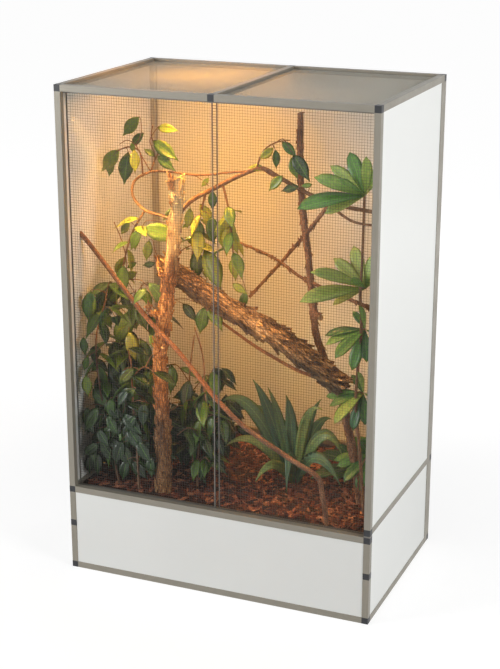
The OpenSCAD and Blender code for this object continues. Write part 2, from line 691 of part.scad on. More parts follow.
// A long leaf that rises from a sheath on the crown and arches over
module arching_leaf(foot, az, reach, rise, w) {
    steps = 5;
    side = [-sin(az), cos(az), 0];
    spine = [for (i = [0:steps]) let(t = i / steps)
        foot + reach * pow(t, 1.5) * [cos(az), sin(az), 0] + [0, 0, rise * sin(125 * t)]];
    wide = [for (i = [0:steps]) w * max(0.1, sin(180 * pow(i / steps, 0.75)))];
    rings = [for (i = [0:steps]) let(
        n = unit(cross(side, unit(spine[min(i + 1, steps)] - spine[max(i - 1, 0)]))))
        each [spine[i] + wide[i] / 2 * side, spine[i] + leaf_t * n,
            spine[i] - wide[i] / 2 * side, spine[i] - leaf_t * n]];
    skin = [for (i = [0:steps - 1], k = [0:3]) let(a = 4 * i + k, b = 4 * i + (k + 1) % 4)
        each [[a, b, b + 4], [a, b + 4, a + 4]]];
    polyhedron(rings, concat(skin, [[3, 2, 1, 0]], [[for (k = [0:3]) 4 * steps + k]]));
    sheath = 2 * leaf_t;
    hull() for (end = [foot - [0, 0, sheath_h], foot + [0, 0, sheath]]) translate(end)
        rotate([0, 0, az]) cube([sheath, w * 0.1, sheath], center = true);
}

strap_leaves = 13;
strap_clear = 24;    // room that a strap leaf leaves to other wood
module strap_leaf_plant() color("seagreen") intersection() {
    planting_space();
    union() {
        foot = in_room([150, -20, 0]);
        hull() for (up = [-6, sheath_h - 6]) translate(foot + [0, 0, up])
            cylinder(r = crown_r + leaf_t, h = 6, $fn = 8);
        for (k = [0:strap_leaves - 1]) {
            az = golden * k + 20;
            crown = foot + [crown_r * cos(az), crown_r * sin(az), sheath_h];
            rise = strap_leaf * (0.62 + 0.35 * hash(k, 91));
            reach = strap_leaf * (0.62 - 0.4 * hash(k, 92));
            tip = crown + [reach * cos(az), reach * sin(az), rise * 0.82];
            mid = crown + [reach * 0.3 * cos(az), reach * 0.3 * sin(az), rise * 0.93];
            if (inside(tip) && clear_of(tip, concat(WOOD, VINE), strap_clear)
                && clear_of(mid, concat(WOOD, VINE), strap_clear))
                arching_leaf(crown, az, reach, rise, strap_leaf * strap_width);
        }
    }
}

bottom_front_rail();
bottom_rear_rail();
bottom_left_rail();
bottom_right_rail();
middle_front_rail();
middle_rear_rail();
middle_left_rail();
middle_right_rail();
top_front_left_rail();
top_front_right_rail();
top_rear_left_rail();
top_rear_right_rail();
top_left_rail();
top_right_rail();
top_cross_bar();
front_left_post();
front_right_post();
rear_left_post();
rear_right_post();
bottom_corner_connectors();
post_joiners();
front_left_middle_connector();
rear_right_middle_connector();
lower_stacked_connectors();
upper_stacked_connectors();
spacers();
top_corner_connectors();
top_tee_connectors();
base_front_panel();
base_rear_panel();
base_left_panel();
base_right_panel();
left_wall_panel();
right_wall_panel();
rear_wall_panel();
floor_panel();
floor_ledges();
bottom_track();
top_track();
left_door_frame();
left_door_mesh();
right_door_frame();
right_door_mesh();
top_left_frame();
top_left_mesh();
top_right_frame();
top_right_mesh();
bark_bed();
upright_trunk();
forked_branch();
leaning_perch();
cork_log();
slim_perch();
climbing_vine();
left_ficus();
middle_ficus();
umbrella_plant();
strap_leaf_plant();
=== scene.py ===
# %% [markdown]
# # A tall planted terrarium
#
# The object is a cage for a climbing reptile. Square aluminium tubes are pushed onto black
# plastic connectors, white boards close the base, the sides and the back, and two wire mesh
# doors slide in front. Behind them stand branches, a cork log and plants on a floor of bark.
#
# The tubes, boards, tracks and mesh are exact shapes already, so this lesson only gives them
# their finishes. The wood, the plants and the bark are modelled here in full.

# %% Load the solid model
import math

import bmesh
import bpy
from mathutils import Euler, Matrix, Vector, noise


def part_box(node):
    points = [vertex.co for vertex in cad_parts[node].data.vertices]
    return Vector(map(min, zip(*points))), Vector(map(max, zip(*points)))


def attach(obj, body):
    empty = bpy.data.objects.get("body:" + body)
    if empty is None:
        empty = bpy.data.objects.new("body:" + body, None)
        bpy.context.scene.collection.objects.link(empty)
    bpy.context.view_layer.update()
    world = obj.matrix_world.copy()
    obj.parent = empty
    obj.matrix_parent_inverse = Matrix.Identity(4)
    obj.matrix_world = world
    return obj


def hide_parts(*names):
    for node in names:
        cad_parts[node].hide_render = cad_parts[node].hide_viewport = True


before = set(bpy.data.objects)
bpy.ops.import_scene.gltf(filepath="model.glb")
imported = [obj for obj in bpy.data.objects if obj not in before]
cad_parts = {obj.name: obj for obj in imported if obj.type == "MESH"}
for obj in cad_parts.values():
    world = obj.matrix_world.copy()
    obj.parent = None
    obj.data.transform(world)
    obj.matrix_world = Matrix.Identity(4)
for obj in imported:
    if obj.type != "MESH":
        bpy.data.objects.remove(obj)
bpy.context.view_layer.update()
MM = 0.001

# %% [markdown]
# ## The camera
#
# The cage is seen from its front right and a little from above. A long lens keeps its upright
# tubes nearly parallel. The camera could be turned by hand until the view looks right, but
# numbers give the same view in every run. It comes first, so that every later step can be
# looked at.

# %% Place the camera
CAMERA_SPOT = Vector((1.7105, -4.1286, 2.2036))
CAMERA_YAW = math.radians(22.67)
CAMERA_PITCH = math.radians(-18.0)
CAMERA_LENS, FILM_WIDTH = 80.59, 36


def in_scene(name, data):
    made = bpy.data.objects.new(name, data)
    bpy.context.scene.collection.objects.link(made)
    return made


camera = in_scene("camera", bpy.data.cameras.new("camera"))
camera.data.lens = CAMERA_LENS
camera.data.sensor_width = FILM_WIDTH
camera.location = CAMERA_SPOT
camera.rotation_euler = Euler((math.radians(90) + CAMERA_PITCH, 0, CAMERA_YAW))
bpy.context.scene.camera = camera
bpy.context.scene.view_settings.view_transform = "Standard"
print("camera at", tuple(round(v, 2) for v in camera.location))

# %% [markdown]
# ## Floor and light
#
# A pale floor and soft lamps show the finishes without tinting them. Brighter lamps would turn
# the floor white, but they would wash out the boards too. So the floor and the sky glow for
# the camera and for reflections alone, and the cage gets no light from that glow. Small warm
# lamps shine through the top and inside the cage, as over a real basking place.

# %% Small helpers that add nodes
def add_node(tree, kind, inputs=None, **settings):
    """Adds a node. A value that is a socket is linked, any other value is typed in."""
    made = tree.nodes.new(kind)
    for name, value in settings.items():
        setattr(made, name, value)
    for name, value in (inputs or {}).items():
        if isinstance(value, bpy.types.NodeSocket):
            tree.links.new(value, made.inputs[name])
        else:
            made.inputs[name].default_value = value
    return made


def maths(tree, operation, a, b=0.0, clamp=False):
    return add_node(tree, "ShaderNodeMath", {0: a, 1: b}, operation=operation,
                    use_clamp=clamp).outputs[0]


def map_range(tree, value, a, b, low, high):
    """Turns the range from a to b into the range from low to high, and stops at its ends."""
    return add_node(tree, "ShaderNodeMapRange", {"Value": value, "From Min": a, "From Max": b,
                    "To Min": low, "To Max": high}).outputs["Result"]


def new_material(name):
    made = bpy.data.materials.new(name)
    made.use_nodes = True
    made.node_tree.nodes.clear()
    return made, made.node_tree


def grey(tone):
    return (tone, tone, tone, 1)


def seen_by(tree, *kinds):
    """1 for rays of the kinds named, 0 for the light that falls on the cage."""
    path = add_node(tree, "ShaderNodeLightPath").outputs
    seen = path[f"Is {kinds[0]} Ray"]
    for kind in kinds[1:]:
        seen = maths(tree, "MAXIMUM", seen, path[f"Is {kind} Ray"])
    return seen


# %% Floor and sky
FLOOR_EDGE = 40.0
FLOOR_PAINT, FLOOR_SHADE = 0.45, 0.3
GLOW_DISTANCE = (0.7, 3.0)
GLOW_STRENGTH = (0.78, 0.955)
SKY_LIGHT, SKY_WHITE = 0.08, 0.97


def build_floor():
    mesh = bpy.data.meshes.new("floor")
    mesh.from_pydata([(x * FLOOR_EDGE, y * FLOOR_EDGE, 0) for x, y in (
        (-1, -1), (1, -1), (1, 1), (-1, 1))], [], [(0, 1, 2, 3)])
    floor = in_scene("floor", mesh)
    material, tree = new_material("pale floor")
    paint, shade = (add_node(tree, "ShaderNodeBsdfDiffuse", {"Color": grey(tone)}).outputs[0]
                    for tone in (FLOOR_PAINT, FLOOR_SHADE))
    place = add_node(tree, "ShaderNodeTexCoord").outputs["Object"]
    away = add_node(tree, "ShaderNodeVectorMath", {0: place}, operation="LENGTH")
    glow = map_range(tree, away.outputs["Value"], *GLOW_DISTANCE, *GLOW_STRENGTH)
    light = add_node(tree, "ShaderNodeEmission", {"Color": grey(1), "Strength": glow})
    both = add_node(tree, "ShaderNodeAddShader", {0: shade, 1: light.outputs[0]}).outputs[0]
    mix = add_node(tree, "ShaderNodeMixShader", {
        0: seen_by(tree, "Camera", "Glossy", "Transmission"), 1: paint, 2: both}).outputs[0]
    add_node(tree, "ShaderNodeOutputMaterial", {"Surface": mix})
    mesh.materials.append(material)


def build_sky():
    world = bpy.data.worlds.new("studio")
    bpy.context.scene.world = world
    world.use_nodes = True
    tree = world.node_tree
    tree.nodes.clear()
    dim, white = (add_node(tree, "ShaderNodeBackground", {
        "Color": grey(tone), "Strength": strength}).outputs[0]
        for tone, strength in ((1, SKY_LIGHT), (SKY_WHITE, 1.0)))
    mix = add_node(tree, "ShaderNodeMixShader", {
        0: seen_by(tree, "Camera", "Glossy"), 1: dim, 2: white}).outputs[0]
    add_node(tree, "ShaderNodeOutputWorld", {"Surface": mix})


build_floor()
build_sky()
print("floor glows from", *GLOW_STRENGTH, "and the sky lights the cage with", SKY_LIGHT)


# %% Lamps
def add_lamp(name, spot, target, size, watts, colour=(1, 1, 1), cone=180, shiny=True):
    """A round lamp of a size in metres. Its light keeps to a cone in degrees."""
    lamp = in_scene(name, bpy.data.lights.new(name, "AREA"))
    lamp.data.shape = "DISK"
    lamp.data.size = size
    lamp.data.energy = watts
    lamp.data.color = colour
    lamp.data.spread = math.radians(cone)
    lamp.location = spot
    aim = Vector(target) - Vector(spot)
    lamp.rotation_euler = aim.to_track_quat("-Z", "Y").to_euler()
    lamp.visible_camera = False
    lamp.visible_glossy = shiny


WARM, GOLDEN, PALE = (1.0, 0.43, 0.055), (1, 0.56, 0.14), (1, 0.85, 0.62)
# The studio: the back lamp isn't shiny, or its reflection would turn the right board white.
add_lamp("left lamp", (-3.9, -3.2, 2.0), (0, 0, 0.7), 2.2, 196)
add_lamp("right lamp", (4.4, -1.7, 2.2), (0, 0, 0.7), 2.2, 134)
add_lamp("back lamp", (1.8, 4.6, 0.9), (0, 0, 0.8), 2.4, 110, shiny=False)
add_lamp("top lamp", (1.2, -0.6, 4.2), (0.2, 0, 1.5), 1.2, 10)
# The basking place: one lamp over the top mesh and two inside, then two weak ones for the shade.
add_lamp("warm lamp over the top", (-0.27, 0.0, 2.0), (-0.22, 0.02, 1.0), 0.12, 2.7, WARM, 80)
add_lamp("warm lamp at the front", (-0.14, -0.2, 1.46), (-0.15, 0.3, 0.75), 0.08, 1.7, WARM, 130)
add_lamp("warm spot", (-0.46, -0.26, 1.46), (0.0, -0.08, 0.72), 0.06, 1.5, GOLDEN, 60)
add_lamp("pale fill", (0.3, -0.26, 1.3), (0.25, 0.3, 0.9), 0.4, 0.25, PALE, 130)
add_lamp("warm fill", (-0.15, -0.25, 0.85), (-0.1, 0.3, 0.8), 0.6, 1.1, WARM)

# %% [markdown]
# ## Finishes of the frame
#
# The tubes are satin anodised, and fine scratches run along each of them, so a tube along X, Y
# or Z gets its own direction. The boards are smooth foam board with a faint cloudiness and a
# shallow orange peel. Pictures of metal and board could be laid over them, but they end or
# repeat somewhere. Every finish here is made from noise, which does neither.

# %% Helpers for noise, colour and bump
def coordinates(tree, scale=(1, 1, 1), tilt=0.0):
    """Object coordinates, turned about Y by tilt degrees and then stretched."""
    place = add_node(tree, "ShaderNodeTexCoord").outputs["Object"]
    turned = add_node(tree, "ShaderNodeMapping", {"Vector": place,
                      "Rotation": (0, math.radians(tilt), 0)}).outputs[0]
    return add_node(tree, "ShaderNodeMapping", {"Vector": turned, "Scale": scale}).outputs[0]


def noise_value(tree, vector, scale, detail=3.0, roughness=0.5):
    return add_node(tree, "ShaderNodeTexNoise", {"Vector": vector, "Scale": scale,
                    "Detail": detail, "Roughness": roughness}).outputs["Fac"]


def colour_ramp(tree, factor, stops):
    ramp = add_node(tree, "ShaderNodeValToRGB", {"Fac": factor})
    elements = ramp.color_ramp.elements
    while len(elements) < len(stops):
        elements.new(0.5)
    for element, (place, colour) in zip(elements, stops):
        element.position = place
        element.color = (*colour, 1)
    return ramp.outputs["Color"]


def spread(tree, value, low, high):
    """Spreads the middle of a noise, from 0.3 to 0.7, over the range from low to high."""
    return map_range(tree, value, 0.3, 0.7, low, high)


def bump(tree, height, strength, distance):
    return add_node(tree, "ShaderNodeBump", {"Height": height, "Strength": strength,
                    "Distance": distance}).outputs["Normal"]


def mix_colours(tree, factor, a, b):
    a, b = (v if isinstance(v, bpy.types.NodeSocket) else (*v, 1) for v in (a, b))
    return add_node(tree, "ShaderNodeMix", {0: factor, 6: a, 7: b}, data_type="RGBA").outputs[2]


def surface(material, tree, values):
    """Ends a material in one Principled shader."""
    shader = add_node(tree, "ShaderNodeBsdfPrincipled", values).outputs[0]
    add_node(tree, "ShaderNodeOutputMaterial", {"Surface": shader})
    return material


# %% Aluminium
SCRATCH_WIDTH, SCRATCH_LENGTH = 900.0, 12.0
TUBE = (0.25, 0.23, 0.188), (0.33, 0.303, 0.25)
# The next tone is a lighter copy of the tube colour: painted light for the rear left post.
PAINTED_LIGHT_TUBE = (0.42, 0.4, 0.35), (0.55, 0.52, 0.46)
TRIM = (0.14, 0.13, 0.115), (0.24, 0.225, 0.2)


def aluminium(name, along, dark, light):
    """Satin metal whose scratches run along one axis, 0, 1 or 2."""
    material, tree = new_material(name)
    stretch = [SCRATCH_WIDTH] * 3
    stretch[along] = SCRATCH_LENGTH
    scratches = noise_value(tree, coordinates(tree, stretch), 1.0, 2.0)
    clouds = noise_value(tree, coordinates(tree), 14.0, 4.0, 0.6)
    colour = colour_ramp(tree, scratches, [(0.25, dark), (0.75, light)])
    colour = mix_colours(tree, spread(tree, clouds, 0.0, 0.3), colour, [0.82 * v for v in dark])
    return surface(material, tree, {
        "Base Color": colour, "Metallic": 0.35, "Roughness": spread(tree, clouds, 0.36, 0.5),
        "Normal": bump(tree, scratches, 0.25, 0.0002)})


tubes = [aluminium(f"anodised tube along {axis}", i, *TUBE) for i, axis in enumerate("XYZ")]
trim = [aluminium(f"aluminium trim along {axis}", i, *TRIM) for i, axis in enumerate("XYZ")]
painted_light_tube = aluminium("painted light tube along Z", 2, *PAINTED_LIGHT_TUBE)
print("metals", [metal.name for metal in tubes + trim + [painted_light_tube]])


# %% Plastic, board and wire
def moulded_plastic():
    material, tree = new_material("black moulded plastic")
    grain = noise_value(tree, coordinates(tree), 900.0, 2.0)
    wear = noise_value(tree, coordinates(tree), 60.0, 4.0)
    colour = colour_ramp(tree, wear, [(0.3, (0.012, 0.013, 0.016)), (0.75, (0.03, 0.031, 0.034))])
    return surface(material, tree, {
        "Base Color": colour, "Roughness": spread(tree, wear, 0.38, 0.55),
        "Normal": bump(tree, grain, 0.3, 0.0002)})


def white_board(name, tone):
    material, tree = new_material(name)
    clouds = noise_value(tree, coordinates(tree), 3.0, 5.0, 0.6)
    peel = noise_value(tree, coordinates(tree), 260.0, 2.0)
    colour = colour_ramp(tree, clouds, [(0.3, tuple(0.97 * v for v in tone)), (0.7, tone)])
    return surface(material, tree, {
        "Base Color": colour, "Roughness": spread(tree, clouds, 0.34, 0.44),
        "Normal": bump(tree, peel, 0.12, 0.0002)})


def mesh_wire(name, dark, light):
    material, tree = new_material(name)
    spots = noise_value(tree, coordinates(tree), 220.0, 3.0, 0.6)
    return surface(material, tree, {
        "Base Color": colour_ramp(tree, spots, [(0.3, dark), (0.7, light)]),
        "Metallic": 0.6, "Roughness": spread(tree, spots, 0.4, 0.6)})


black_plastic = moulded_plastic()
board = white_board("white foam board", (0.862, 0.872, 0.845))
floor_board = white_board("pale floor plastic", (0.72, 0.72, 0.7))
wire = mesh_wire("steel wire", (0.05, 0.05, 0.045), (0.15, 0.145, 0.135))
# The top mesh gets a lighter copy of the wire.
top_wire = mesh_wire("galvanised wire", (0.26, 0.26, 0.23), (0.5, 0.5, 0.45))
print("other finishes", [m.name for m in (black_plastic, board, floor_board, wire, top_wire)])


# %% Give each solid its finish
def finish_of(node):
    if node.endswith(("_rail", "_bar")):
        low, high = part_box(node)
        size = high - low
        return tubes[max(range(3), key=lambda axis: size[axis])]
    # The rear left post is the same tube, painted lighter: painted light.
    if node == "rear_left_post":
        return painted_light_tube
    if node.endswith("_post"):
        return tubes[2]
    if "connector" in node or node == "post_joiners":
        return black_plastic
    if node == "floor_panel":
        return floor_board
    if node.endswith("_panel"):
        return board
    if node.endswith("_mesh"):
        return top_wire if node.startswith("top") else wire
    return trim[2] if node.endswith("door_frame") else trim[0]


for name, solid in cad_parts.items():
    solid.data.materials.clear()
    solid.data.materials.append(finish_of(name))
print("finished", len(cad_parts), "solids")

# %% [markdown]
# ## Routes of the branches and stems
#
# Each branch follows a route of a few points, in millimetres: across, back, and height above
# the bark. They are the routes of the solid model, so the detailed wood lies where the solids
# do. A smooth curve runs through the points. A small hash takes the place of chance, because
# its numbers are the same in every run.

# %% Route helpers
BARK_TOP = 280
HASH_I, HASH_K, HASH_SIZE = 127.1, 311.7, 4373.51


def route(points):
    return [Vector((x, y, z + BARK_TOP)) * MM for x, y, z in points]


def chance(i, k=0):
    """A repeatable number from 0 to 1 for item i and purpose k."""
    value = math.sin(math.radians(i * HASH_I + k * HASH_K)) * HASH_SIZE
    return value - math.floor(value)


def bend(a, b, c, d, t):
    """The point at t between b and c, on the smooth curve that also heeds a and d."""
    return 0.5 * (2 * b + (c - a) * t + (2 * a - 5 * b + 4 * c - d) * t * t
                  + (3 * b - a - 3 * c + d) * t ** 3)


def smooth(points, steps=3):
    last = len(points) - 1
    line = [bend(points[max(i - 1, 0)], points[i], points[i + 1], points[min(i + 2, last)],
                 s / steps) for i in range(last) for s in range(steps)]
    return line + [points[last]]


def point_at(line, t):
    span = len(line) - 1
    i = min(math.floor(t * span), span - 1)
    return line[i].lerp(line[i + 1], t * span - i)


def distance_to(p, line):
    best = math.inf
    for a, b in zip(line, line[1:]):
        ab = b - a
        t = max(0, min(1, (p - a).dot(ab) / ab.length_squared))
        best = min(best, (p - a - t * ab).length)
    return best


print("bark top at", BARK_TOP, "mm")


# %% Routes of the wood, the vine and the stems
TRUNK = route([(-210, -235, -20), (-215, -222, 200), (-225, -210, 390), (-220, -202, 520),
               (-195, -190, 710), (-180, -178, 880), (-180, -170, 990)])
PERCH = route([(-505, -200, 805), (-455, -205, 760), (-265, -232, 570), (-150, -245, 475),
               (30, -252, 295), (205, -258, 195), (310, -262, 145), (328, -262, 95),
               (345, -262, -10)])
FORK = route([(140, 20, 1175), (145, 10, 1020), (160, 0, 870), (185, -15, 735), (205, -32, 615),
              (228, -52, 510), (290, -72, 380), (330, -76, 290), (370, -80, 120),
              (395, -90, -20)])
UPPER_LIMB = route([(255, -40, 920), (190, -20, 835), (90, 20, 720), (-40, 60, 575)])
LOWER_LIMB = route([(-60, 30, 755), (60, 20, 720), (155, 0, 675), (260, -60, 665),
                    (405, -120, 645), (510, -165, 630)])
LOG = route([(-235, -152, 705), (-40, -138, 600), (135, -128, 515), (335, -112, 385)])
SLIM = route([(-75, -88, 530), (25, -86, 472), (90, -84, 440), (190, -84, 400),
              (290, -72, 381)])
VINE = route([(-185, -165, 870), (-165, -140, 900), (-145, -115, 920), (-100, -100, 945),
              (-65, -90, 965), (-10, -90, 995), (55, -80, 1020), (100, -70, 1000),
              (165, -60, 965), (235, -75, 945), (305, -100, 935), (420, -140, 935),
              (510, -170, 935)])
VINE_LOOP = route([(-195, -170, 860), (-240, -150, 865), (-310, -125, 870), (-360, -105, 905),
                   (-360, -90, 950), (-310, -80, 980), (-250, -80, 985), (-140, -85, 985),
                   (-50, -85, 1000), (20, -85, 1010)])
VINE_TWIG = route([(265, -85, 935), (350, -110, 895), (430, -140, 895)])
SPRIG_LEFT = route([(-335, -85, 965), (-340, -90, 1040), (-375, -95, 1055), (-415, -95, 1040)])
SPRIG_RIGHT = route([(-310, -80, 980), (-295, -85, 1015), (-280, -85, 1050), (-300, -90, 1090),
                     (-295, -90, 1125)])
SPRIG_MID = route([(40, -80, 1015), (60, -80, 1070), (100, -75, 1100), (145, -75, 1110)])
SHOOT_LEFT = route([(-310, -125, 870), (-345, -145, 800), (-370, -150, 720), (-385, -155, 640)])
SHOOT_MID = route([(-115, -105, 935), (-130, -110, 870), (-145, -120, 790), (-160, -125, 705)])
SHOOT_RIGHT = route([(-65, -90, 965), (-40, -110, 905), (-25, -120, 835), (-15, -125, 740)])
FICUS_A = route([(-365, -235, -20), (-390, -240, 145), (-425, -235, 305), (-440, -225, 465),
                 (-405, -215, 600)])
FICUS_B = route([(-330, -120, -20), (-345, -135, 150), (-365, -145, 320), (-365, -150, 485),
                 (-335, -150, 620)])
FICUS_C = route([(-290, -250, -20), (-295, -245, 120), (-310, -235, 260), (-320, -225, 420)])
FICUS_D = route([(-130, -160, -20), (-120, -160, 165), (-105, -158, 295), (-100, -165, 425),
                 (-115, -195, 540)])
FICUS_E = route([(-150, -130, -20), (-165, -120, 160), (-175, -110, 330), (-160, -100, 480)])
UMBRELLA = route([(425, -150, -20), (405, -148, 200), (388, -145, 355), (398, -140, 575),
                  (394, -142, 690), (390, -120, 800), (385, -98, 990)])
print("the log is", round((LOG[-1] - LOG[0]).length, 2), "m long")

# %% How thick they are, and where leaves have room
TRUNK_R, PERCH_R, FORK_R, LIMB_R, SLIM_R, VINE_R, LOOP_R, STEM_R, LOG_R = (
    0.021, 0.008, 0.011, 0.006, 0.006, 0.007, 0.0045, 0.004, 0.027)
SPRIG_R = STEM_R * 0.8
SPRIGS = [SPRIG_LEFT, SPRIG_RIGHT, SPRIG_MID]
SHOOTS = [SHOOT_LEFT, SHOOT_MID, SHOOT_RIGHT]
WOOD_SPACE = [(TRUNK, TRUNK_R), (PERCH, PERCH_R), (FORK, FORK_R), (UPPER_LIMB, LIMB_R),
              (LOWER_LIMB, LIMB_R), (LOG, LOG_R), (SLIM, SLIM_R)]
ALL_SPACE = WOOD_SPACE + [(VINE, VINE_R), (VINE_LOOP, LOOP_R), (VINE_TWIG, LIMB_R)] + [
    (line, STEM_R) for line in SHOOTS]
ROOM_LOW = Vector((-0.489, -0.2819, 0.284))
ROOM_HIGH = Vector((0.489, 0.309, 1.526))


def in_room(p):
    return all(low < v < high for low, v, high in zip(ROOM_LOW, p, ROOM_HIGH))


def clear_of(p, others, gap):
    return all(distance_to(p, line) - r > gap for line, r in others)


print("routes that leaves keep clear of:", len(ALL_SPACE))

# %% [markdown]
# ## Bark and wood
#
# The wood is real branches with rough bark, sawn off at their ends, and a log in thick cork
# bark. A branch is a tube along a route. Python would need a loop for every ring of points, so
# Geometry Nodes suit it better: a circle is swept along the curve, its radius comes from a
# stored value, and noise that is stretched along the branch pushes the skin in and out for
# furrows and knots.

# %% Helpers for Geometry Nodes trees
def new_tree(name, inputs):
    """An empty tree with named inputs, their identifiers, and the sockets they come from."""
    tree = bpy.data.node_groups.new(name, "GeometryNodeTree")
    face = tree.interface
    face.new_socket("Geometry", in_out="INPUT", socket_type="NodeSocketGeometry")
    codes = {}
    for label, kind in inputs.items():
        codes[label] = face.new_socket(label, in_out="INPUT",
                                       socket_type="NodeSocket" + kind).identifier
    face.new_socket("Geometry", in_out="OUTPUT", socket_type="NodeSocketGeometry")
    return tree, codes, tree.nodes.new("NodeGroupInput").outputs


def end_tree(tree, geometry, material):
    """Every tree ends in plain geometry with its material."""
    real = add_node(tree, "GeometryNodeRealizeInstances", {0: geometry})
    painted = add_node(tree, "GeometryNodeSetMaterial", {0: real.outputs[0],
                       "Material": material})
    add_node(tree, "NodeGroupOutput", {0: painted.outputs[0]})


def named(tree, name, kind="FLOAT"):
    return add_node(tree, "GeometryNodeInputNamedAttribute", {"Name": name},
                    data_type=kind).outputs[0]


# %% The tree that grows a branch
FURROW_STRETCH, FURROW_DETAIL = 9.0, 3.0
KNOT_SCALE, KNOT_DETAIL = 28.0, 1.0


def branch_tree():
    tree, codes, entry = new_tree("Knotty branch", {
        "Sides": "Int", "Furrow depth": "Float", "Furrow count": "Float",
        "Knot depth": "Float", "Seed": "Float", "Material": "Material"})

    def pushed(place, scale, detail, depth):
        """Noise at a place, from minus to plus half the depth."""
        value = add_node(tree, "ShaderNodeTexNoise", {
            "Vector": place, "W": entry["Seed"], "Scale": scale, "Detail": detail},
            noise_dimensions="4D").outputs[0]
        return maths(tree, "MULTIPLY", maths(tree, "SUBTRACT", value, 0.5), depth)

    curve = add_node(tree, "GeometryNodeMeshToCurve", {0: entry["Geometry"]}).outputs[0]
    ring = add_node(tree, "GeometryNodeCurvePrimitiveCircle", {
        "Resolution": entry["Sides"], "Radius": 1.0}).outputs[0]
    factor = add_node(tree, "GeometryNodeSplineParameter").outputs["Factor"]
    ring = add_node(tree, "GeometryNodeStoreNamedAttribute", {
        0: ring, "Name": "around", "Value": factor}).outputs[0]
    skin = add_node(tree, "GeometryNodeCurveToMesh", {
        "Curve": curve, "Profile Curve": ring, "Scale": named(tree, "thick"),
        "Fill Caps": True}).outputs[0]
    turn = maths(tree, "MULTIPLY", named(tree, "around"), math.tau)
    across = add_node(tree, "ShaderNodeCombineXYZ", {
        0: maths(tree, "COSINE", turn), 1: maths(tree, "SINE", turn),
        2: maths(tree, "MULTIPLY", named(tree, "along"), FURROW_STRETCH)}).outputs[0]
    place = add_node(tree, "GeometryNodeInputPosition").outputs[0]
    deep = pushed(across, entry["Furrow count"], FURROW_DETAIL, entry["Furrow depth"])
    wide = pushed(place, KNOT_SCALE, KNOT_DETAIL, entry["Knot depth"])
    push = maths(tree, "MULTIPLY", maths(tree, "ADD", deep, wide), named(tree, "thick"))
    normal = add_node(tree, "GeometryNodeInputNormal").outputs[0]
    offset = add_node(tree, "ShaderNodeVectorMath", {0: normal, "Scale": push},
                      operation="SCALE").outputs[0]
    moved = add_node(tree, "GeometryNodeSetPosition", {0: skin, "Offset": offset}).outputs[0]
    round_skin = add_node(tree, "GeometryNodeSetShadeSmooth", {0: moved}).outputs[0]
    end_tree(tree, round_skin, entry["Material"])
    return tree, codes


BRANCH, BRANCH_CODES = branch_tree()
print("branch tree has", len(BRANCH.nodes), "nodes")


# %% Run a tree, and keep a piece
def grown(source_mesh, tree, codes, values):
    """The plain mesh that a Geometry Nodes tree makes of a source."""
    source = in_scene("source", source_mesh)
    modifier = source.modifiers.new("grow", "NODES")
    modifier.node_group = tree
    for label, value in values.items():
        modifier[codes[label]] = value
    depsgraph = bpy.context.evaluated_depsgraph_get()
    mesh = bpy.data.meshes.new_from_object(source.evaluated_get(depsgraph))
    source.modifiers.remove(modifier)
    bpy.data.objects.remove(source)
    return mesh


def keep_piece(name, mesh, node):
    """Puts a finished mesh in the scene, on the cage body."""
    piece = in_scene(name, mesh)
    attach(piece, "cage")
    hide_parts(node)
    print(name, len(mesh.polygons), "faces")


# %% The spines of branches
def store(mesh, label, values):
    """Keeps one number for each point of a mesh, for a tree to read."""
    mesh.attributes.new(label, "FLOAT", "POINT").data.foreach_set("value", values)


def spine_mesh(spines):
    """A wire mesh with one polyline per spine, and its thickness and length at each point."""
    points, edges, thick, along = [], [], [], []
    for line, r0, r1 in spines:
        run = 0.0
        for i, p in enumerate(line):
            if i:
                edges.append((len(points) - 1, len(points)))
                run += (p - line[i - 1]).length
            points.append(p)
            thick.append(r0 + (r1 - r0) * i / (len(line) - 1))
            along.append(run)
    mesh = bpy.data.meshes.new("spine")
    mesh.from_pydata(points, edges, [])
    store(mesh, "thick", thick)
    store(mesh, "along", along)
    return mesh


# %% Trim and saw the branches
WALL_X = 0.4944
FOOT_Z = 0.262
SKIN_CORNERS = 6


def trimmed(mesh):
    """Cuts what runs into the side walls or below the floor of the room, and closes the cuts."""
    build = bmesh.new()
    build.from_mesh(mesh)
    for spot, way in (((WALL_X, 0, 0), (1, 0, 0)), ((-WALL_X, 0, 0), (-1, 0, 0)),
                      ((0, 0, FOOT_Z), (0, 0, -1))):
        everything = build.verts[:] + build.edges[:] + build.faces[:]
        cut = bmesh.ops.bisect_plane(build, geom=everything, plane_co=spot, plane_no=way,
                                     clear_outer=True)["geom_cut"]
        edges = [part for part in cut if isinstance(part, bmesh.types.BMEdge)]
        if edges:
            bmesh.ops.holes_fill(build, edges=edges, sides=0)
    build.to_mesh(mesh)
    build.free()
    return mesh


def sawn(mesh):
    """Gives the flat ends of the branches, which have many corners, the look of cut wood."""
    mesh.materials.append(cut_wood)
    for face in mesh.polygons:
        if face.loop_total > SKIN_CORNERS:
            face.material_index = len(mesh.materials) - 1
    return mesh


def branch_mesh(spines, material, sides=12, furrow=0.25, count=1.6, knot=0.3, seed=1.0, steps=10):
    """Branches in one mesh. Each spine is a route and its radii at both ends."""
    fine = [(smooth(points, steps), r0, r1) for points, r0, r1 in spines]
    return sawn(trimmed(grown(spine_mesh(fine), BRANCH, BRANCH_CODES, {
        "Sides": sides, "Furrow depth": furrow, "Furrow count": count, "Knot depth": knot,
        "Seed": seed, "Material": material})))


# %% How bark is painted
# The second tone is painted shade: the dark colour painted on the underside of the log.
CRACK_TONE, PAINTED_SHADE_TONE = (0.03, 0.018, 0.01), (0.04, 0.03, 0.022)
GRAIN_STRETCH = (1, 1, 0.25)
GRAIN_SCALE, CELL_SCALE, CRACK_WIDTH = 9, 5, 0.12


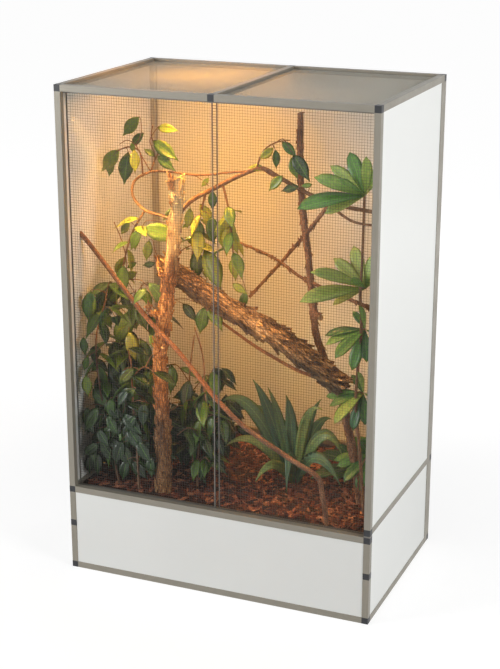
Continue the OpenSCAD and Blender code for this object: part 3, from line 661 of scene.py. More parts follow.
def wood(name, stops, scale, groove, bare_and_lit_top=None, tilt=0.0, painted_shade_range=None):
    """Bark: broad stains, fine grain, cracks and, where it has come off, bare pale wood. This pale
    top is partly painted lamp light as well.

    The pattern is stretched along Z once the branch has been turned upright by tilt.
    bare_and_lit_top is the range of heights over which the bark gives way to a pale tone, partly
    bare wood and partly painted lamp light, and painted_shade_range is the range across the
    branch over which its painted shade, a dark underside painted on the bark, ends."""
    material, tree = new_material(name)
    place = coordinates(tree, GRAIN_STRETCH, tilt)
    stains = noise_value(tree, place, scale, 6.0, 0.65)
    grain = noise_value(tree, place, scale * GRAIN_SCALE, 4.0, 0.7)
    cells = add_node(tree, "ShaderNodeTexVoronoi", {"Vector": place, "Scale": scale * CELL_SCALE},
                     feature="DISTANCE_TO_EDGE").outputs["Distance"]
    half = maths(tree, "MULTIPLY", maths(tree, "ADD", stains, grain), 0.5)
    crack = map_range(tree, cells, 0.0, CRACK_WIDTH, 0.6, 0.0)
    colour = mix_colours(tree, crack, colour_ramp(tree, half, stops), CRACK_TONE)
    # The pale top, from the height low up to high: bare wood and painted lamp light.
    if bare_and_lit_top:
        low, high, tone = bare_and_lit_top
        up = add_node(tree, "ShaderNodeSeparateXYZ", {0: coordinates(tree)}).outputs[2]
        patch = spread(tree, noise_value(tree, place, 16.0, 3.0), -1.2, 2.2)
        bare_and_lit = maths(tree, "MULTIPLY", map_range(tree, up, low, high, 0.0, 1.0), patch, True)
        colour = mix_colours(tree, bare_and_lit, colour, tone)
    # Painted shade: the underside of the log is painted dark.
    if painted_shade_range:
        across = add_node(tree, "ShaderNodeSeparateXYZ", {0: coordinates(tree, tilt=tilt)})
        shade = map_range(tree, across.outputs[0], *painted_shade_range, 0.75, 0.0)
        colour = mix_colours(tree, shade, colour, PAINTED_SHADE_TONE)
    return surface(material, tree, {
        "Base Color": colour, "Roughness": spread(tree, grain, 0.6, 0.85),
        "Normal": bump(tree, maths(tree, "SUBTRACT", half, crack), 0.8, groove)})


# %% The barks
LOG_TILT, PERCH_TILT = 60.6, 46


def log_painted_shade_range():
    """The range across the log, once it is turned upright, over which its dark side, a painted
    shade, ends.
    """
    heart = (LOG[1] + LOG[2]) / 2
    turn = math.radians(LOG_TILT)
    middle = heart.x * math.cos(turn) + heart.z * math.sin(turn)
    return middle - 0.6 * LOG_R, middle + 0.3 * LOG_R


# The trunk's pale top is partly bare wood and partly painted lamp light.
trunk_bark = wood("orange trunk bark", [
    (0.4, (0.08, 0.035, 0.015)), (0.5, (0.42, 0.19, 0.07)), (0.6, (0.8, 0.5, 0.22))],
    26, 0.005, bare_and_lit_top=(0.98, 1.1, (0.84, 0.66, 0.36)))
branch_bark = wood("brown branch bark", [
    (0.38, (0.07, 0.03, 0.015)), (0.5, (0.3, 0.14, 0.07)), (0.62, (0.62, 0.36, 0.2))], 40, 0.003)
perch_bark = wood("smooth perch bark", [
    (0.38, (0.1, 0.04, 0.02)), (0.5, (0.3, 0.13, 0.065)), (0.62, (0.55, 0.3, 0.16))],
    45, 0.0015, tilt=PERCH_TILT)
# The cork bark gets a painted shade: its underside is painted dark.
cork_bark = wood("cork bark", [
    (0.4, (0.035, 0.018, 0.01)), (0.48, (0.3, 0.15, 0.06)), (0.55, (0.75, 0.46, 0.2)),
    (0.64, (0.9, 0.72, 0.45))], 20, 0.008, tilt=LOG_TILT, painted_shade_range=log_painted_shade_range())
vine_bark = wood("vine bark", [
    (0.36, (0.08, 0.04, 0.025)), (0.5, (0.25, 0.13, 0.075)), (0.64, (0.45, 0.28, 0.16))],
    60, 0.001)
cut_wood = wood("cut wood", [
    (0.36, (0.4, 0.22, 0.1)), (0.5, (0.66, 0.44, 0.24)), (0.64, (0.8, 0.6, 0.38))], 90, 0.0005)
print("barks", [bark.name for bark in (trunk_bark, branch_bark, perch_bark, cork_bark, vine_bark)])

# %% The wood
# Short stubs of cut side branches, in millimetres, with their radii at both ends.
TRUNK_STUBS = [(route([(-205, -195, 715), (-195, -175, 740), (-180, -150, 760)]), 0.009, 0.006),
               (route([(-212, -200, 690), (-235, -185, 705), (-250, -170, 740)]), 0.007, 0.004),
               (route([(-188, -176, 960), (-194, -180, 985), (-197, -182, 1004)]), 0.011, 0.004),
               (route([(-172, -166, 960), (-168, -162, 980), (-166, -160, 998)]), 0.010, 0.004),
               (route([(-222, -206, 430), (-205, -235, 455), (-195, -252, 480)]), 0.009, 0.005),
               (route([(-222, -208, 560), (-245, -225, 580), (-255, -235, 600)]), 0.008, 0.005)]
FORK_STUBS = [(route([(214, -42, 577), (235, -68, 582), (255, -95, 585)]), 0.010, 0.009),
              (route([(146, 9, 1010), (158, -5, 1020), (165, -15, 1024)]), 0.007, 0.005)]
trunk_mesh = branch_mesh([(TRUNK, TRUNK_R * 1.02, TRUNK_R * 0.78)] + TRUNK_STUBS, trunk_bark,
                         20, 0.45, 1.6, 0.6, 3.0)
fork_mesh = branch_mesh([(FORK, FORK_R * 0.85, FORK_R * 1.2), (UPPER_LIMB, LIMB_R, LIMB_R * 0.8),
                         (LOWER_LIMB, LIMB_R * 0.7, LIMB_R)] + FORK_STUBS, branch_bark,
                        14, 0.35, 1.3, 0.6, 5.0)
perch_mesh = branch_mesh([(PERCH, PERCH_R * 0.85, PERCH_R)], perch_bark, 14, 0.25, 1.3, 0.45, 7.0)
log_mesh = branch_mesh([(LOG, LOG_R * 0.92, LOG_R * 0.96)], cork_bark, 32, 0.6, 2.4, 0.7, 9.0, 24)
slim_mesh = branch_mesh([(SLIM, SLIM_R * 0.7, SLIM_R)], perch_bark, 12, 0.2, 1.3, 0.3, 31.0)
keep_piece("upright_trunk_bark", trunk_mesh, "upright_trunk")
keep_piece("forked_branch_bark", fork_mesh, "forked_branch")
keep_piece("leaning_perch_bark", perch_mesh, "leaning_perch")
keep_piece("cork_log_bark", log_mesh, "cork_log")
keep_piece("slim_perch_bark", slim_mesh, "slim_perch")

# %% [markdown]
# ## Flakes of bark
#
# Old bark breaks into flakes. They could be bump in the material, but then the outline of the
# log would stay smooth. So a second tree scatters one small curved flake over a branch, turns
# each copy flat against the skin and along the grain, and lifts its end by chance.

# %% Helpers that scatter copies
def scattered(tree, entry):
    """Points by chance on the faces that come in."""
    return add_node(tree, "GeometryNodeDistributePointsOnFaces", {
        "Mesh": entry["Geometry"], "Density": entry["Density"], "Seed": entry["Seed"]}).outputs


def random_vector(tree, low, high, seed):
    return add_node(tree, "FunctionNodeRandomValue", {0: low, 1: high, "Seed": seed},
                    data_type="FLOAT_VECTOR").outputs[0]


def copies(tree, points, thing, rotation, scale):
    """One copy of an object at every point."""
    shape = add_node(tree, "GeometryNodeObjectInfo", {"Object": thing}).outputs["Geometry"]
    return add_node(tree, "GeometryNodeInstanceOnPoints", {
        "Points": points, "Instance": shape, "Rotation": rotation, "Scale": scale}).outputs[0]


# %% The flake and the tree that scatters it
FLAKE_PLACES = (-0.5, -0.2, 0.25, 0.5)
FLAKE_WIDTHS = (0.55, 1.0, 0.85, 0.3)
FLAKE_LEVELS = ((0.0, 0.5), (0.16, 0.36))
FLAKE_CURL = 0.22
LEAST_LIFT, MOST_LIFT = (-0.25, -0.35, -0.45), (0.25, 0.1, 0.45)


def flake_object():
    """A flake of length 1 along X: a lower and an upper outline of four pairs of corners."""
    points = [(x, side * half * width, level + FLAKE_CURL * x * x)
              for level, half in FLAKE_LEVELS
              for x, width in zip(FLAKE_PLACES, FLAKE_WIDTHS) for side in (-1, 1)]
    faces = []
    for i in range(3):
        a, b = 2 * i, 2 * i + 8
        faces += [(a, a + 1, a + 3, a + 2), (b, b + 2, b + 3, b + 1),
                  (a, a + 2, b + 2, b), (a + 1, b + 1, b + 3, a + 3)]
    faces += [(0, 8, 9, 1), (6, 7, 15, 14)]
    mesh = bpy.data.meshes.new("flake")
    mesh.from_pydata(points, [], faces)
    return bpy.data.objects.new("flake", mesh)


def flake_tree():
    tree, codes, entry = new_tree("Bark flakes", {
        "Flake": "Object", "Density": "Float", "Grain": "Vector", "Smallest": "Vector",
        "Largest": "Vector", "Seed": "Int", "Material": "Material"})
    points = scattered(tree, entry)
    flat = add_node(tree, "FunctionNodeAlignRotationToVector", {
        "Vector": points["Normal"]}, axis="Z").outputs[0]
    along = add_node(tree, "FunctionNodeAlignRotationToVector", {
        "Rotation": flat, "Vector": entry["Grain"]}, axis="X", pivot_axis="Z").outputs[0]
    lift = random_vector(tree, LEAST_LIFT, MOST_LIFT, entry["Seed"])
    loose = add_node(tree, "FunctionNodeEulerToRotation", {0: lift}).outputs[0]
    turn = add_node(tree, "FunctionNodeRotateRotation", {0: along, 1: loose},
                    rotation_space="LOCAL").outputs[0]
    scale = random_vector(tree, entry["Smallest"], entry["Largest"], entry["Seed"])
    flakes = copies(tree, points["Points"], entry["Flake"], turn, scale)
    end_tree(tree, flakes, entry["Material"])
    return tree, codes


FLAKES, FLAKE_CODES = flake_tree()
flake = flake_object()
print("flake tree has", len(FLAKES.nodes), "nodes")


# %% Flakes on the log, the trunk and the forked branch
def flakes_on(name, mesh, node, grain, density, smallest, largest, material, seed):
    """Flakes along the grain, so many to the square metre, from smallest to largest."""
    keep_piece(name, trimmed(grown(mesh.copy(), FLAKES, FLAKE_CODES, {
        "Flake": flake, "Density": density, "Grain": grain, "Smallest": smallest,
        "Largest": largest, "Seed": seed, "Material": material})), node)


flakes_on("cork_log_flakes", log_mesh, "cork_log", (0.87, 0.06, -0.49), 4500.0,
          (0.018, 0.006, 0.016), (0.075, 0.022, 0.055), cork_bark, 3)
flakes_on("upright_trunk_flakes", trunk_mesh, "upright_trunk", (0.0, 0.0, 1.0),
          2200.0, (0.012, 0.006, 0.012), (0.045, 0.016, 0.035), trunk_bark, 5)
flakes_on("forked_branch_flakes", fork_mesh, "forked_branch", (0.1, 0.0, -1.0),
          2000.0, (0.008, 0.003, 0.006), (0.024, 0.008, 0.018), branch_bark, 7)

# %% [markdown]
# ## Leaves
#
# The plants have waxy leaves, folded along the midrib and drooping towards a drawn-out tip. A
# flat card with a picture would do from afar, but it has no thickness and turns into a line
# when it is seen from its edge. So a leaf is a closed lens here: two curved sheets that meet
# at the edge. A plant has many leaves of one kind, so one is modelled, and Geometry Nodes put
# a copy at each point of a small cloud. Each point carries a turn, a size and a tint.

# %% Two sheets that make a leaf
ACROSS = (-1.0, -0.5, 0.0, 0.5, 1.0)


def two_sheets(rows, shared, place):
    """Lofts the upper sheet of a leaf, 1, and the lower one, -1, over rows of five points.

    place(side, i, v) makes a point, and shared(i, v) tells which points are common to both."""
    sheets = []
    for side in (1, -1):
        sheets.append([[sheets[0][i][j] if side < 0 and shared(i, v) else place(side, i, v)
                        for j, v in enumerate(ACROSS)] for i in range(rows)])
    return sheets


def sheet_faces(build, sheets, order=(0, 1, 2, 3)):
    """Faces between the rows. order is the way round the corners of a face of the upper sheet,
    and the lower sheet goes round the other way."""
    for side, sheet in zip((1, -1), sheets):
        for row, following in zip(sheet, sheet[1:]):
            for j in range(len(ACROSS) - 1):
                corners = [row[j], following[j], following[j + 1], row[j + 1]]
                build.faces.new([corners[k] for k in order[::side]])


# %% One leaf
LEAF_THICK, LEAF_PULL = 1.3, 0.18


def mesh_of(build, name):
    mesh = bpy.data.meshes.new(name)
    build.to_mesh(mesh)
    build.free()
    return mesh


def leaf_object(name, outline, fold, droop, thick=0.0006, rows=7):
    """A leaf of length 1 along +X. outline gives its half width along the length."""
    build = bmesh.new()
    leaf_place = build.verts.layers.float_vector.new("leaf_place")

    def edge(i, v):
        return abs(v) == 1 or i in (0, rows - 1)

    def place(side, i, v):
        u = i / (rows - 1)
        half = outline(u)
        swell = 0.0 if edge(i, v) else side * thick * (LEAF_THICK - abs(v))
        vertex = build.verts.new((u - LEAF_PULL * droop * u * u, v * half,
                                  fold * abs(v) * half - droop * u ** 1.8 + swell))
        vertex[leaf_place] = (u, v, 0)
        return vertex

    sheet_faces(build, two_sheets(rows, edge, place))
    bmesh.ops.remove_doubles(build, verts=build.verts, dist=1e-6)
    mesh = mesh_of(build, name)
    print(name, len(mesh.polygons), "faces")
    return bpy.data.objects.new(name, mesh)


def ficus_outline(u):
    """Widest before the middle, with a tip that starts at 0.8 and is drawn out."""
    belly = math.sin(math.pi * min(u, 0.8) / 0.86) ** 0.75
    return 0.21 * belly * (1 if u < 0.8 else ((1 - u) / 0.2) ** 1.4)


def umbrella_outline(u):
    return 0.15 * math.sin(math.pi * u ** 1.6) ** 0.6 if 0 < u < 1 else 0.0


ficus_leaf = leaf_object("ficus leaf", ficus_outline, 0.35, 0.16)
umbrella_leaf = leaf_object("umbrella leaf", umbrella_outline, 0.3, 0.2, 0.0005, 9)


# %% The tree that hangs leaves on points
def leaf_tree():
    tree, codes, entry = new_tree("Leaves on stems", {"Leaf": "Object", "Size": "Float",
                                                      "Material": "Material"})
    size = maths(tree, "MULTIPLY", named(tree, "size"), entry["Size"])
    scale = add_node(tree, "ShaderNodeCombineXYZ", {0: size, 1: size, 2: size}).outputs[0]
    leaves = copies(tree, entry["Geometry"], entry["Leaf"],
                    named(tree, "turn", "FLOAT_VECTOR"), scale)
    real = add_node(tree, "GeometryNodeRealizeInstances", {0: leaves}).outputs[0]
    soft = add_node(tree, "GeometryNodeSetShadeSmooth", {0: real}).outputs[0]
    end_tree(tree, soft, entry["Material"])
    return tree, codes


def leaves_mesh(leaves, template, material):
    """One mesh of all the leaves of a plant. A leaf is its foot, turn, length and tint."""
    mesh = bpy.data.meshes.new("leaf points")
    mesh.from_pydata([leaf[0] for leaf in leaves], [], [])
    turn = mesh.attributes.new("turn", "FLOAT_VECTOR", "POINT")
    turn.data.foreach_set("vector", [v for leaf in leaves for v in leaf[1]])
    store(mesh, "size", [leaf[2] for leaf in leaves])
    store(mesh, "tint", [leaf[3] for leaf in leaves])
    return grown(mesh, LEAVES, LEAF_CODES,
                 {"Leaf": template, "Size": 1.0, "Material": material})


LEAVES, LEAF_CODES = leaf_tree()
print("leaf tree has", len(LEAVES.nodes), "nodes")

# %% Leaves along a stem
# Turns in degrees, lengths and widths as shares of a leaf's size.
GOLDEN_TURN, STEM_TURN = 137.5, 61
LEAF_HANG, LEAF_ROLL = 75, 40
SHORTEST_LEAF, LEAF_RANGE = 0.75, 0.45
LEAF_WIDTH, LEAF_GAP = 0.44, 0.001
TINT_RANGE = 0.5
LEAF_SPOTS = ((0.25, 0.25), (0.5, 0.5), (0.75, 0.34), (1, 0.05))


def leaves_on(points, count, size, first, last, seed, others, sunlit=0.4):
    """Leaves from the part first to the part last of a stem, each a golden turn further.

    One that would meet a wall or other wood isn't grown."""
    line = smooth(points, 2)
    made = []
    for i in range(count):
        foot = point_at(line, first + (last - first) * (i + 0.5) / count)
        azimuth = math.radians(GOLDEN_TURN * i + STEM_TURN * seed)
        lift = math.radians(-LEAF_HANG * chance(i, seed))
        length = size * (SHORTEST_LEAF + LEAF_RANGE * chance(i, seed + 3))
        way = Vector((math.cos(azimuth) * math.cos(lift), math.sin(azimuth) * math.cos(lift),
                      math.sin(lift)))
        if in_room(foot + length * way) and in_room(foot + length / 2 * way) and all(
                clear_of(foot + place * length * way, others,
                         share * LEAF_WIDTH * length + LEAF_GAP) for place, share in LEAF_SPOTS):
            roll = math.radians(LEAF_ROLL * (chance(i, seed + 7) - 0.5))
            # The tint is partly the leaf's own colour and partly painted light: sunlit raises it to
            # yellow.
            tint = min(1, max(0, sunlit + TINT_RANGE * (chance(i, seed + 9) - 0.5)))
            made.append((foot, (roll, -lift, azimuth), length, tint))
    return made


# %% Leaves that are set one by one
FACING, FACING_RANGE = Vector((0.38, -0.85, 0.36)), 0.6
DROOPING_LENGTH = 1.06
SHORTEST_STALK, STALK_SAG = 0.004, 0.12


def placed(leaves, seed=1, facing=FACING):
    """Leaves listed by foot, tip and tint. Their faces turn to the light at the front."""
    made = []
    for i, (foot, tip, tint) in enumerate(leaves):
        foot, tip = route([foot, tip])
        way = tip - foot
        sway = Vector((chance(i, seed) - 0.5, 0, chance(i, seed + 1) - 0.5))
        face = facing + FACING_RANGE * sway
        up = (face - face.dot(way) / way.length_squared * way).normalized()
        axis = way.normalized()
        turn = Matrix((axis, up.cross(axis), up)).transposed().to_euler()
        made.append((foot, tuple(turn), way.length * DROOPING_LENGTH, tint))
    return made


def stalks(leaves, lines, longest=0.16):
    """Thin stalks from the nearest stem to the foot of each placed leaf."""
    spots = [p for line in lines for p in smooth(line, 8)]
    made = []
    for foot in (leaf[0] for leaf in leaves):
        near = min(spots, key=lambda p: (p - foot).length)
        if SHORTEST_STALK < (near - foot).length < longest:
            rise = Vector((0, 0, STALK_SAG * (near - foot).length))
            made.append([near, (near + foot) / 2 + rise, foot])
    return made


# %% Leaves scattered through a box
THICKET_RANGE, THICKET_SWING, THICKET_GAP = 0.5, 70, 0.02


def thicket(low, high, count, size, seed, tint, others):
    """Leaves scattered through a box, tips hanging, for the dense part of a plant."""
    made = []
    for i in range(count):
        foot = [a + (b - a) * chance(i, seed + k) for k, (a, b) in enumerate(zip(low, high))]
        length = size * (SHORTEST_LEAF + THICKET_RANGE * chance(i, seed + 4))
        swing = math.radians(2 * THICKET_SWING * chance(i, seed + 5) - THICKET_SWING)
        tip = (foot[0] + length * math.sin(swing),
               foot[1] + length * 0.5 * (chance(i, seed + 6) - 0.6),
               foot[2] - length * math.cos(swing))
        spots = route([foot, [(a + b) / 2 for a, b in zip(foot, tip)], tip])
        if all(in_room(spot) and clear_of(spot, others, THICKET_GAP) for spot in spots):
            made.append((foot, tip, tint * chance(i, seed + 8)))
    return placed(made, seed)


# %% The finish of a leaf
VEIN_SLANT, VEIN_COUNT = -0.25, 75.0


def leaf_finish(name, deep, fresh, sunny):
    """Waxy green with a pale midrib and side veins. tint runs from deep green to yellow: partly the
    leaves' own colour, partly painted light and shade, yellow on lit leaves, deep green in shade.
    """
    material, tree = new_material(name)
    tint = add_node(tree, "ShaderNodeAttribute", attribute_name="tint").outputs["Fac"]
    place = add_node(tree, "ShaderNodeAttribute", attribute_name="leaf_place").outputs["Vector"]
    parts = add_node(tree, "ShaderNodeSeparateXYZ", {0: place}).outputs
    mottle = noise_value(tree, coordinates(tree), 90.0, 4.0, 0.6)
    shade = maths(tree, "ADD", tint, spread(tree, mottle, -0.12, 0.12))
    colour = colour_ramp(tree, shade, [(0.15, deep), (0.5, fresh), (0.9, sunny)])
    across = maths(tree, "ABSOLUTE", parts[1])
    rib = map_range(tree, across, 0.02, 0.1, 1.0, 0.0)
    slant = maths(tree, "ADD", parts[0], maths(tree, "MULTIPLY", across, VEIN_SLANT))
    veins = maths(tree, "SINE", maths(tree, "MULTIPLY", slant, VEIN_COUNT))
    lines = maths(tree, "MAXIMUM", rib, map_range(tree, veins, 0.75, 1.0, 0.0, 0.35))
    colour = mix_colours(tree, maths(tree, "MULTIPLY", lines, 0.6), colour,
                         [min(1, 1.5 * v + 0.03) for v in fresh])
    return surface(material, tree, {
        "Base Color": colour, "Roughness": spread(tree, mottle, 0.28, 0.45),
        "Coat Weight": 0.2, "Coat Roughness": 0.25, "Normal": bump(tree, lines, 0.35, 0.0008)})


ficus_green = leaf_finish("ficus leaf", (0.006, 0.026, 0.008), (0.1, 0.22, 0.025),
                          (0.4, 0.42, 0.05))
umbrella_green = leaf_finish("umbrella plant leaf", (0.02, 0.1, 0.03), (0.1, 0.26, 0.04),
                             (0.4, 0.5, 0.14))
strap_green = leaf_finish("strap leaf", (0.06, 0.15, 0.08), (0.15, 0.28, 0.08),
                          (0.5, 0.5, 0.14))
print("leaf finishes", [green.name for green in (ficus_green, umbrella_green, strap_green)])

# %% [markdown]
# ## The climbing vine
#
# A woody vine winds from the trunk across the top of the cage, with leafy shoots that hang
# from it. A few leaves at the top catch the warm light and are looked at most, so they are
# placed one by one. The hanging shoots are dressed by rule.

# %% The vine's twigs and leaves
# Twigs and leaves in millimetres, like the routes. A leaf is its foot, its tip and its tint,
# which is partly its own colour and partly painted light and shade.
VINE_TWIGS = [route(points) for points in (
    [(-310, -80, 980), (-330, -88, 1020), (-350, -95, 1060), (-380, -92, 1075), (-410, -90, 1060)],
    [(-295, -85, 1015), (-290, -90, 1040), (-305, -90, 1075), (-295, -90, 1100), (-275, -90, 1125)],
    [(-350, -95, 1060), (-335, -90, 1100), (-335, -90, 1140)],
    [(100, -75, 1100), (125, -78, 1112), (150, -80, 1080)],
    [(55, -80, 1020), (90, -80, 1000), (125, -80, 990), (180, -78, 965), (230, -75, 945)],
    [(-165, -84, 985), (-130, -90, 970), (-110, -92, 955)],
    [(-405, -150, 830), (-380, -150, 775), (-365, -150, 710), (-365, -150, 655), (-335, -160, 615)],
    [(-210, -180, 700), (-250, -170, 745), (-270, -155, 785)],
    [(-205, -178, 735), (-180, -150, 760), (-155, -130, 775), (-125, -120, 785), (-100, -120, 760)],
    [(-190, -175, 845), (-250, -165, 850), (-290, -160, 845), (-310, -150, 815)],
    [(-395, -150, 635), (-360, -150, 650), (-315, -155, 655), (-290, -165, 645), (-230, -190, 640)],
    [(-230, -200, 560), (-305, -170, 635), (-275, -185, 660)])]
TOP_LEFT_LEAVES = (
    ((-340, -90, 1150), (-400, -95, 1085), 0.6), ((-325, -90, 1100), (-375, -95, 1055), 0.3),
    ((-410, -90, 1045), (-475, -100, 970), 0.6), ((-380, -90, 1040), (-395, -100, 935), 0.25),
    ((-355, -100, 1050), (-345, -115, 980), 0.8), ((-365, -95, 1070), (-355, -100, 1035), 0.5),
    ((-280, -90, 1120), (-210, -95, 1120), 0.65), ((-295, -90, 1080), (-210, -100, 1030), 0.35),
    ((-290, -90, 1030), (-330, -85, 1055), 0.3), ((-280, -90, 1035), (-220, -100, 995), 0.3),
    ((-435, -90, 1015), (-450, -95, 955), 0.45))
MIDDLE_LEAVES = (
    ((95, -80, 1085), (50, -90, 1045), 0.9), ((100, -80, 1080), (110, -90, 1025), 0.3),
    ((120, -80, 1105), (170, -85, 1065), 0.4), ((155, -80, 1070), (215, -95, 1000), 0.2),
    ((150, -80, 1060), (170, -80, 995), 0.6), ((65, -80, 1020), (15, -90, 1025), 0.7),
    ((125, -80, 1005), (80, -90, 955), 0.6), ((175, -75, 975), (120, -90, 960), 0.2),
    ((215, -75, 985), (180, -80, 975), 0.55))
SUNLIT_LEAVES = (
    ((-305, -150, 820), (-180, -145, 800), 0.55), ((-310, -150, 815), (-355, -155, 745), 0.45),
    ((-195, -130, 890), (-245, -140, 845), 0.6), ((-160, -120, 890), (-165, -130, 825), 0.8),
    ((-135, -105, 900), (-85, -110, 840), 0.8), ((-95, -100, 945), (-90, -110, 885), 0.3),
    ((-110, -90, 980), (-135, -95, 950), 0.6), ((-135, -115, 855), (-130, -125, 770), 0.3),
    ((-95, -110, 870), (-85, -115, 780), 0.35), ((-55, -105, 875), (-45, -115, 755), 0.75),
    ((-35, -105, 840), (-10, -110, 755), 0.8), ((-135, -125, 765), (-135, -135, 665), 0.25),
    ((-115, -120, 765), (-50, -130, 645), 0.65), ((-125, -120, 780), (-180, -125, 800), 0.6),
    ((-285, -150, 785), (-295, -155, 715), 0.6), ((-190, -130, 690), (-225, -140, 635), 0.35),
    ((-335, -140, 705), (-370, -145, 685), 0.45), ((-335, -140, 675), (-390, -150, 645), 0.6),
    ((-265, -150, 715), (-310, -155, 700), 0.2), ((-25, -110, 665), (25, -120, 640), 0.8),
    ((20, -110, 645), (5, -120, 585), 0.4), ((-100, -150, 595), (-120, -155, 500), 0.35),
    ((-90, -145, 610), (-40, -155, 525), 0.6), ((-175, -150, 595), (-125, -155, 545), 0.15),
    ((-265, -200, 665), (-185, -205, 590), 0.3), ((-375, -160, 615), (-430, -170, 575), 0.35),
    ((-430, -160, 615), (-475, -170, 560), 0.3), ((-350, -150, 835), (-385, -150, 790), 0.6))
print("listed", len(VINE_TWIGS), "twigs")

# %% Build the vine
FICUS_LEAF = 0.092
TWIG_R, STALK_R = 0.0018, 0.0012
vine_leaves = placed(TOP_LEFT_LEAVES + MIDDLE_LEAVES + SUNLIT_LEAVES)
vine_stalks = stalks(vine_leaves, VINE_TWIGS + [VINE, VINE_LOOP, *SPRIGS, *SHOOTS, TRUNK])
for shoot, count, first, seed, sunlit in zip(
        SHOOTS, (9, 11, 10), (0.1, 0.3, 0.3), (3, 4, 5), (0.65, 0.75, 0.75)):
    vine_leaves += leaves_on(shoot, count, FICUS_LEAF, first, 1, seed, WOOD_SPACE, sunlit)
vine_stems = branch_mesh(
    [(VINE, VINE_R * 1.1, VINE_R * 0.8), (VINE_LOOP, LOOP_R * 1.1, LOOP_R * 0.7),
     (VINE_TWIG, LIMB_R * 0.8, LIMB_R * 0.5)]
    + [(line, SPRIG_R, SPRIG_R * 0.55) for line in SPRIGS]
    + [(line, STEM_R, STEM_R * 0.55) for line in SHOOTS]
    + [(twig, TWIG_R, TWIG_R * 0.6) for twig in VINE_TWIGS]
    + [(stalk, STALK_R, STALK_R * 0.8) for stalk in vine_stalks],
    vine_bark, 10, 0.2, 1.3, 0.25, 41.0, 6)
keep_piece("climbing_vine_stems", vine_stems, "climbing_vine")
keep_piece("climbing_vine_leaves", leaves_mesh(vine_leaves, ficus_leaf, ficus_green),
           "climbing_vine")
print("vine leaves", len(vine_leaves))

# %% [markdown]
# ## The ficus plants
#
# Two dense bushes fill the lower left of the cage. Their stems stand close together, and side
# twigs leave each stem on all sides. Leaves grow along both. Low down, where a bush is so
# dense that no twig can be followed, leaves are scattered through a box instead.

# %% Twigs of a bush
TWIG_TURN, TWIG_GAP, TWIG_BACK = 83, 0.006, -0.03
SHORTEST_TWIG, TWIG_RANGE = 0.6, 0.6
LEAST_RISE, RISE_RANGE = 0.25, 0.3


def stems(routes, seed):
    """Stems and twigs in one mesh. Each is a route, its radius and the share left at its tip."""
    return branch_mesh([(points, r, r * tip) for points, r, tip in routes], vine_bark, 8, 0.1,
                       1.2, 0.15, seed, 6)


def side_twigs(points, count, reach, seed, others, first=0.2, last=1.0):
    """Thin twigs that leave a stem on all sides, rise a little and bow down at the end."""
    line = smooth(points, 6)
    made = []
    for i in range(count):
        foot = point_at(line, first + (last - first) * (i + 0.5) / count)
        azimuth = math.radians(GOLDEN_TURN * i + TWIG_TURN * seed)
        out = Vector((math.cos(azimuth), math.sin(azimuth), 0))
        length = reach * (SHORTEST_TWIG + TWIG_RANGE * chance(i, seed + 21))
        rise = Vector((0, 0, length * (LEAST_RISE + RISE_RANGE * chance(i, seed + 22))))
        twig = [foot, foot + 0.5 * length * out + rise, foot + length * out + 0.6 * rise]
        if in_room(twig[2]) and twig[2].y < TWIG_BACK and all(
                clear_of(spot, others, TWIG_GAP) for spot in twig[1:]):
            made.append(twig)
    return made


# %% A whole bush
STEM_TIP, TWIG_TIP = 0.55, 0.5
TWIG_BARE = 0.35


def build_ficus(name, rows, first, fork, on_twig, size, seed, tint, shown, longest):
    """A bush. A row has a stem's route, its leaves and twigs, the twigs' reach, the stem's
    number, where its growth ends and how sunlit it is. first and fork are where the leaves and
    the twigs start. shown are leaves that stalks join to the nearest stem or twig."""
    lines = [row[0] for row in rows]
    leaves, twigs = [], []
    for line, count, _, _, number, last, sunlit in rows:
        leaves += leaves_on(line, count, FICUS_LEAF, first, last, 10 + number, ALL_SPACE, sunlit)
    for line, _, count, reach, number, last, _ in rows:
        twigs += side_twigs(line, count, reach, number, ALL_SPACE, fork, last)
    for i, twig in enumerate(twigs):
        leaves += leaves_on(twig, on_twig, size, TWIG_BARE, 1.0, seed + i, ALL_SPACE, tint)
    twigs += stalks(shown, lines + twigs, longest)
    keep_piece(f"{name}_stems", stems(
        [(line, STEM_R, STEM_TIP) for line in lines]
        + [(twig, TWIG_R, TWIG_TIP) for twig in twigs], 50.0 + rows[0][4]), name)
    keep_piece(f"{name}_leaves", leaves_mesh(leaves + shown, ficus_leaf, ficus_green),
               name)
    print(name, "has", len(leaves + shown), "leaves")


# %% Build both bushes
LEFT_CLUSTER = (
    ((-455, -220, 625), (-465, -230, 520), 0.45), ((-430, -165, 600), (-460, -175, 480), 0.2),
    ((-420, -150, 610), (-420, -160, 530), 0.3), ((-385, -150, 605), (-350, -160, 550), 0.25),
    ((-345, -170, 560), (-390, -190, 435), 0.5), ((-345, -185, 495), (-315, -200, 405), 0.75),
    ((-320, -180, 580), (-280, -185, 505), 0.25), ((-280, -170, 490), (-250, -180, 440), 0.55),
    ((-255, -175, 440), (-225, -185, 370), 0.6), ((-315, -165, 470), (-285, -175, 355), 0.3),
    ((-395, -175, 400), (-400, -190, 285), 0.5), ((-460, -260, 360), (-455, -262, 285), 0.65),
    ((-450, -258, 420), (-470, -262, 370), 0.5), ((-470, -250, 480), (-465, -255, 420), 0.3),
    ((-290, -185, 375), (-270, -195, 290), 0.45), ((-445, -190, 390), (-480, -195, 345), 0.45))
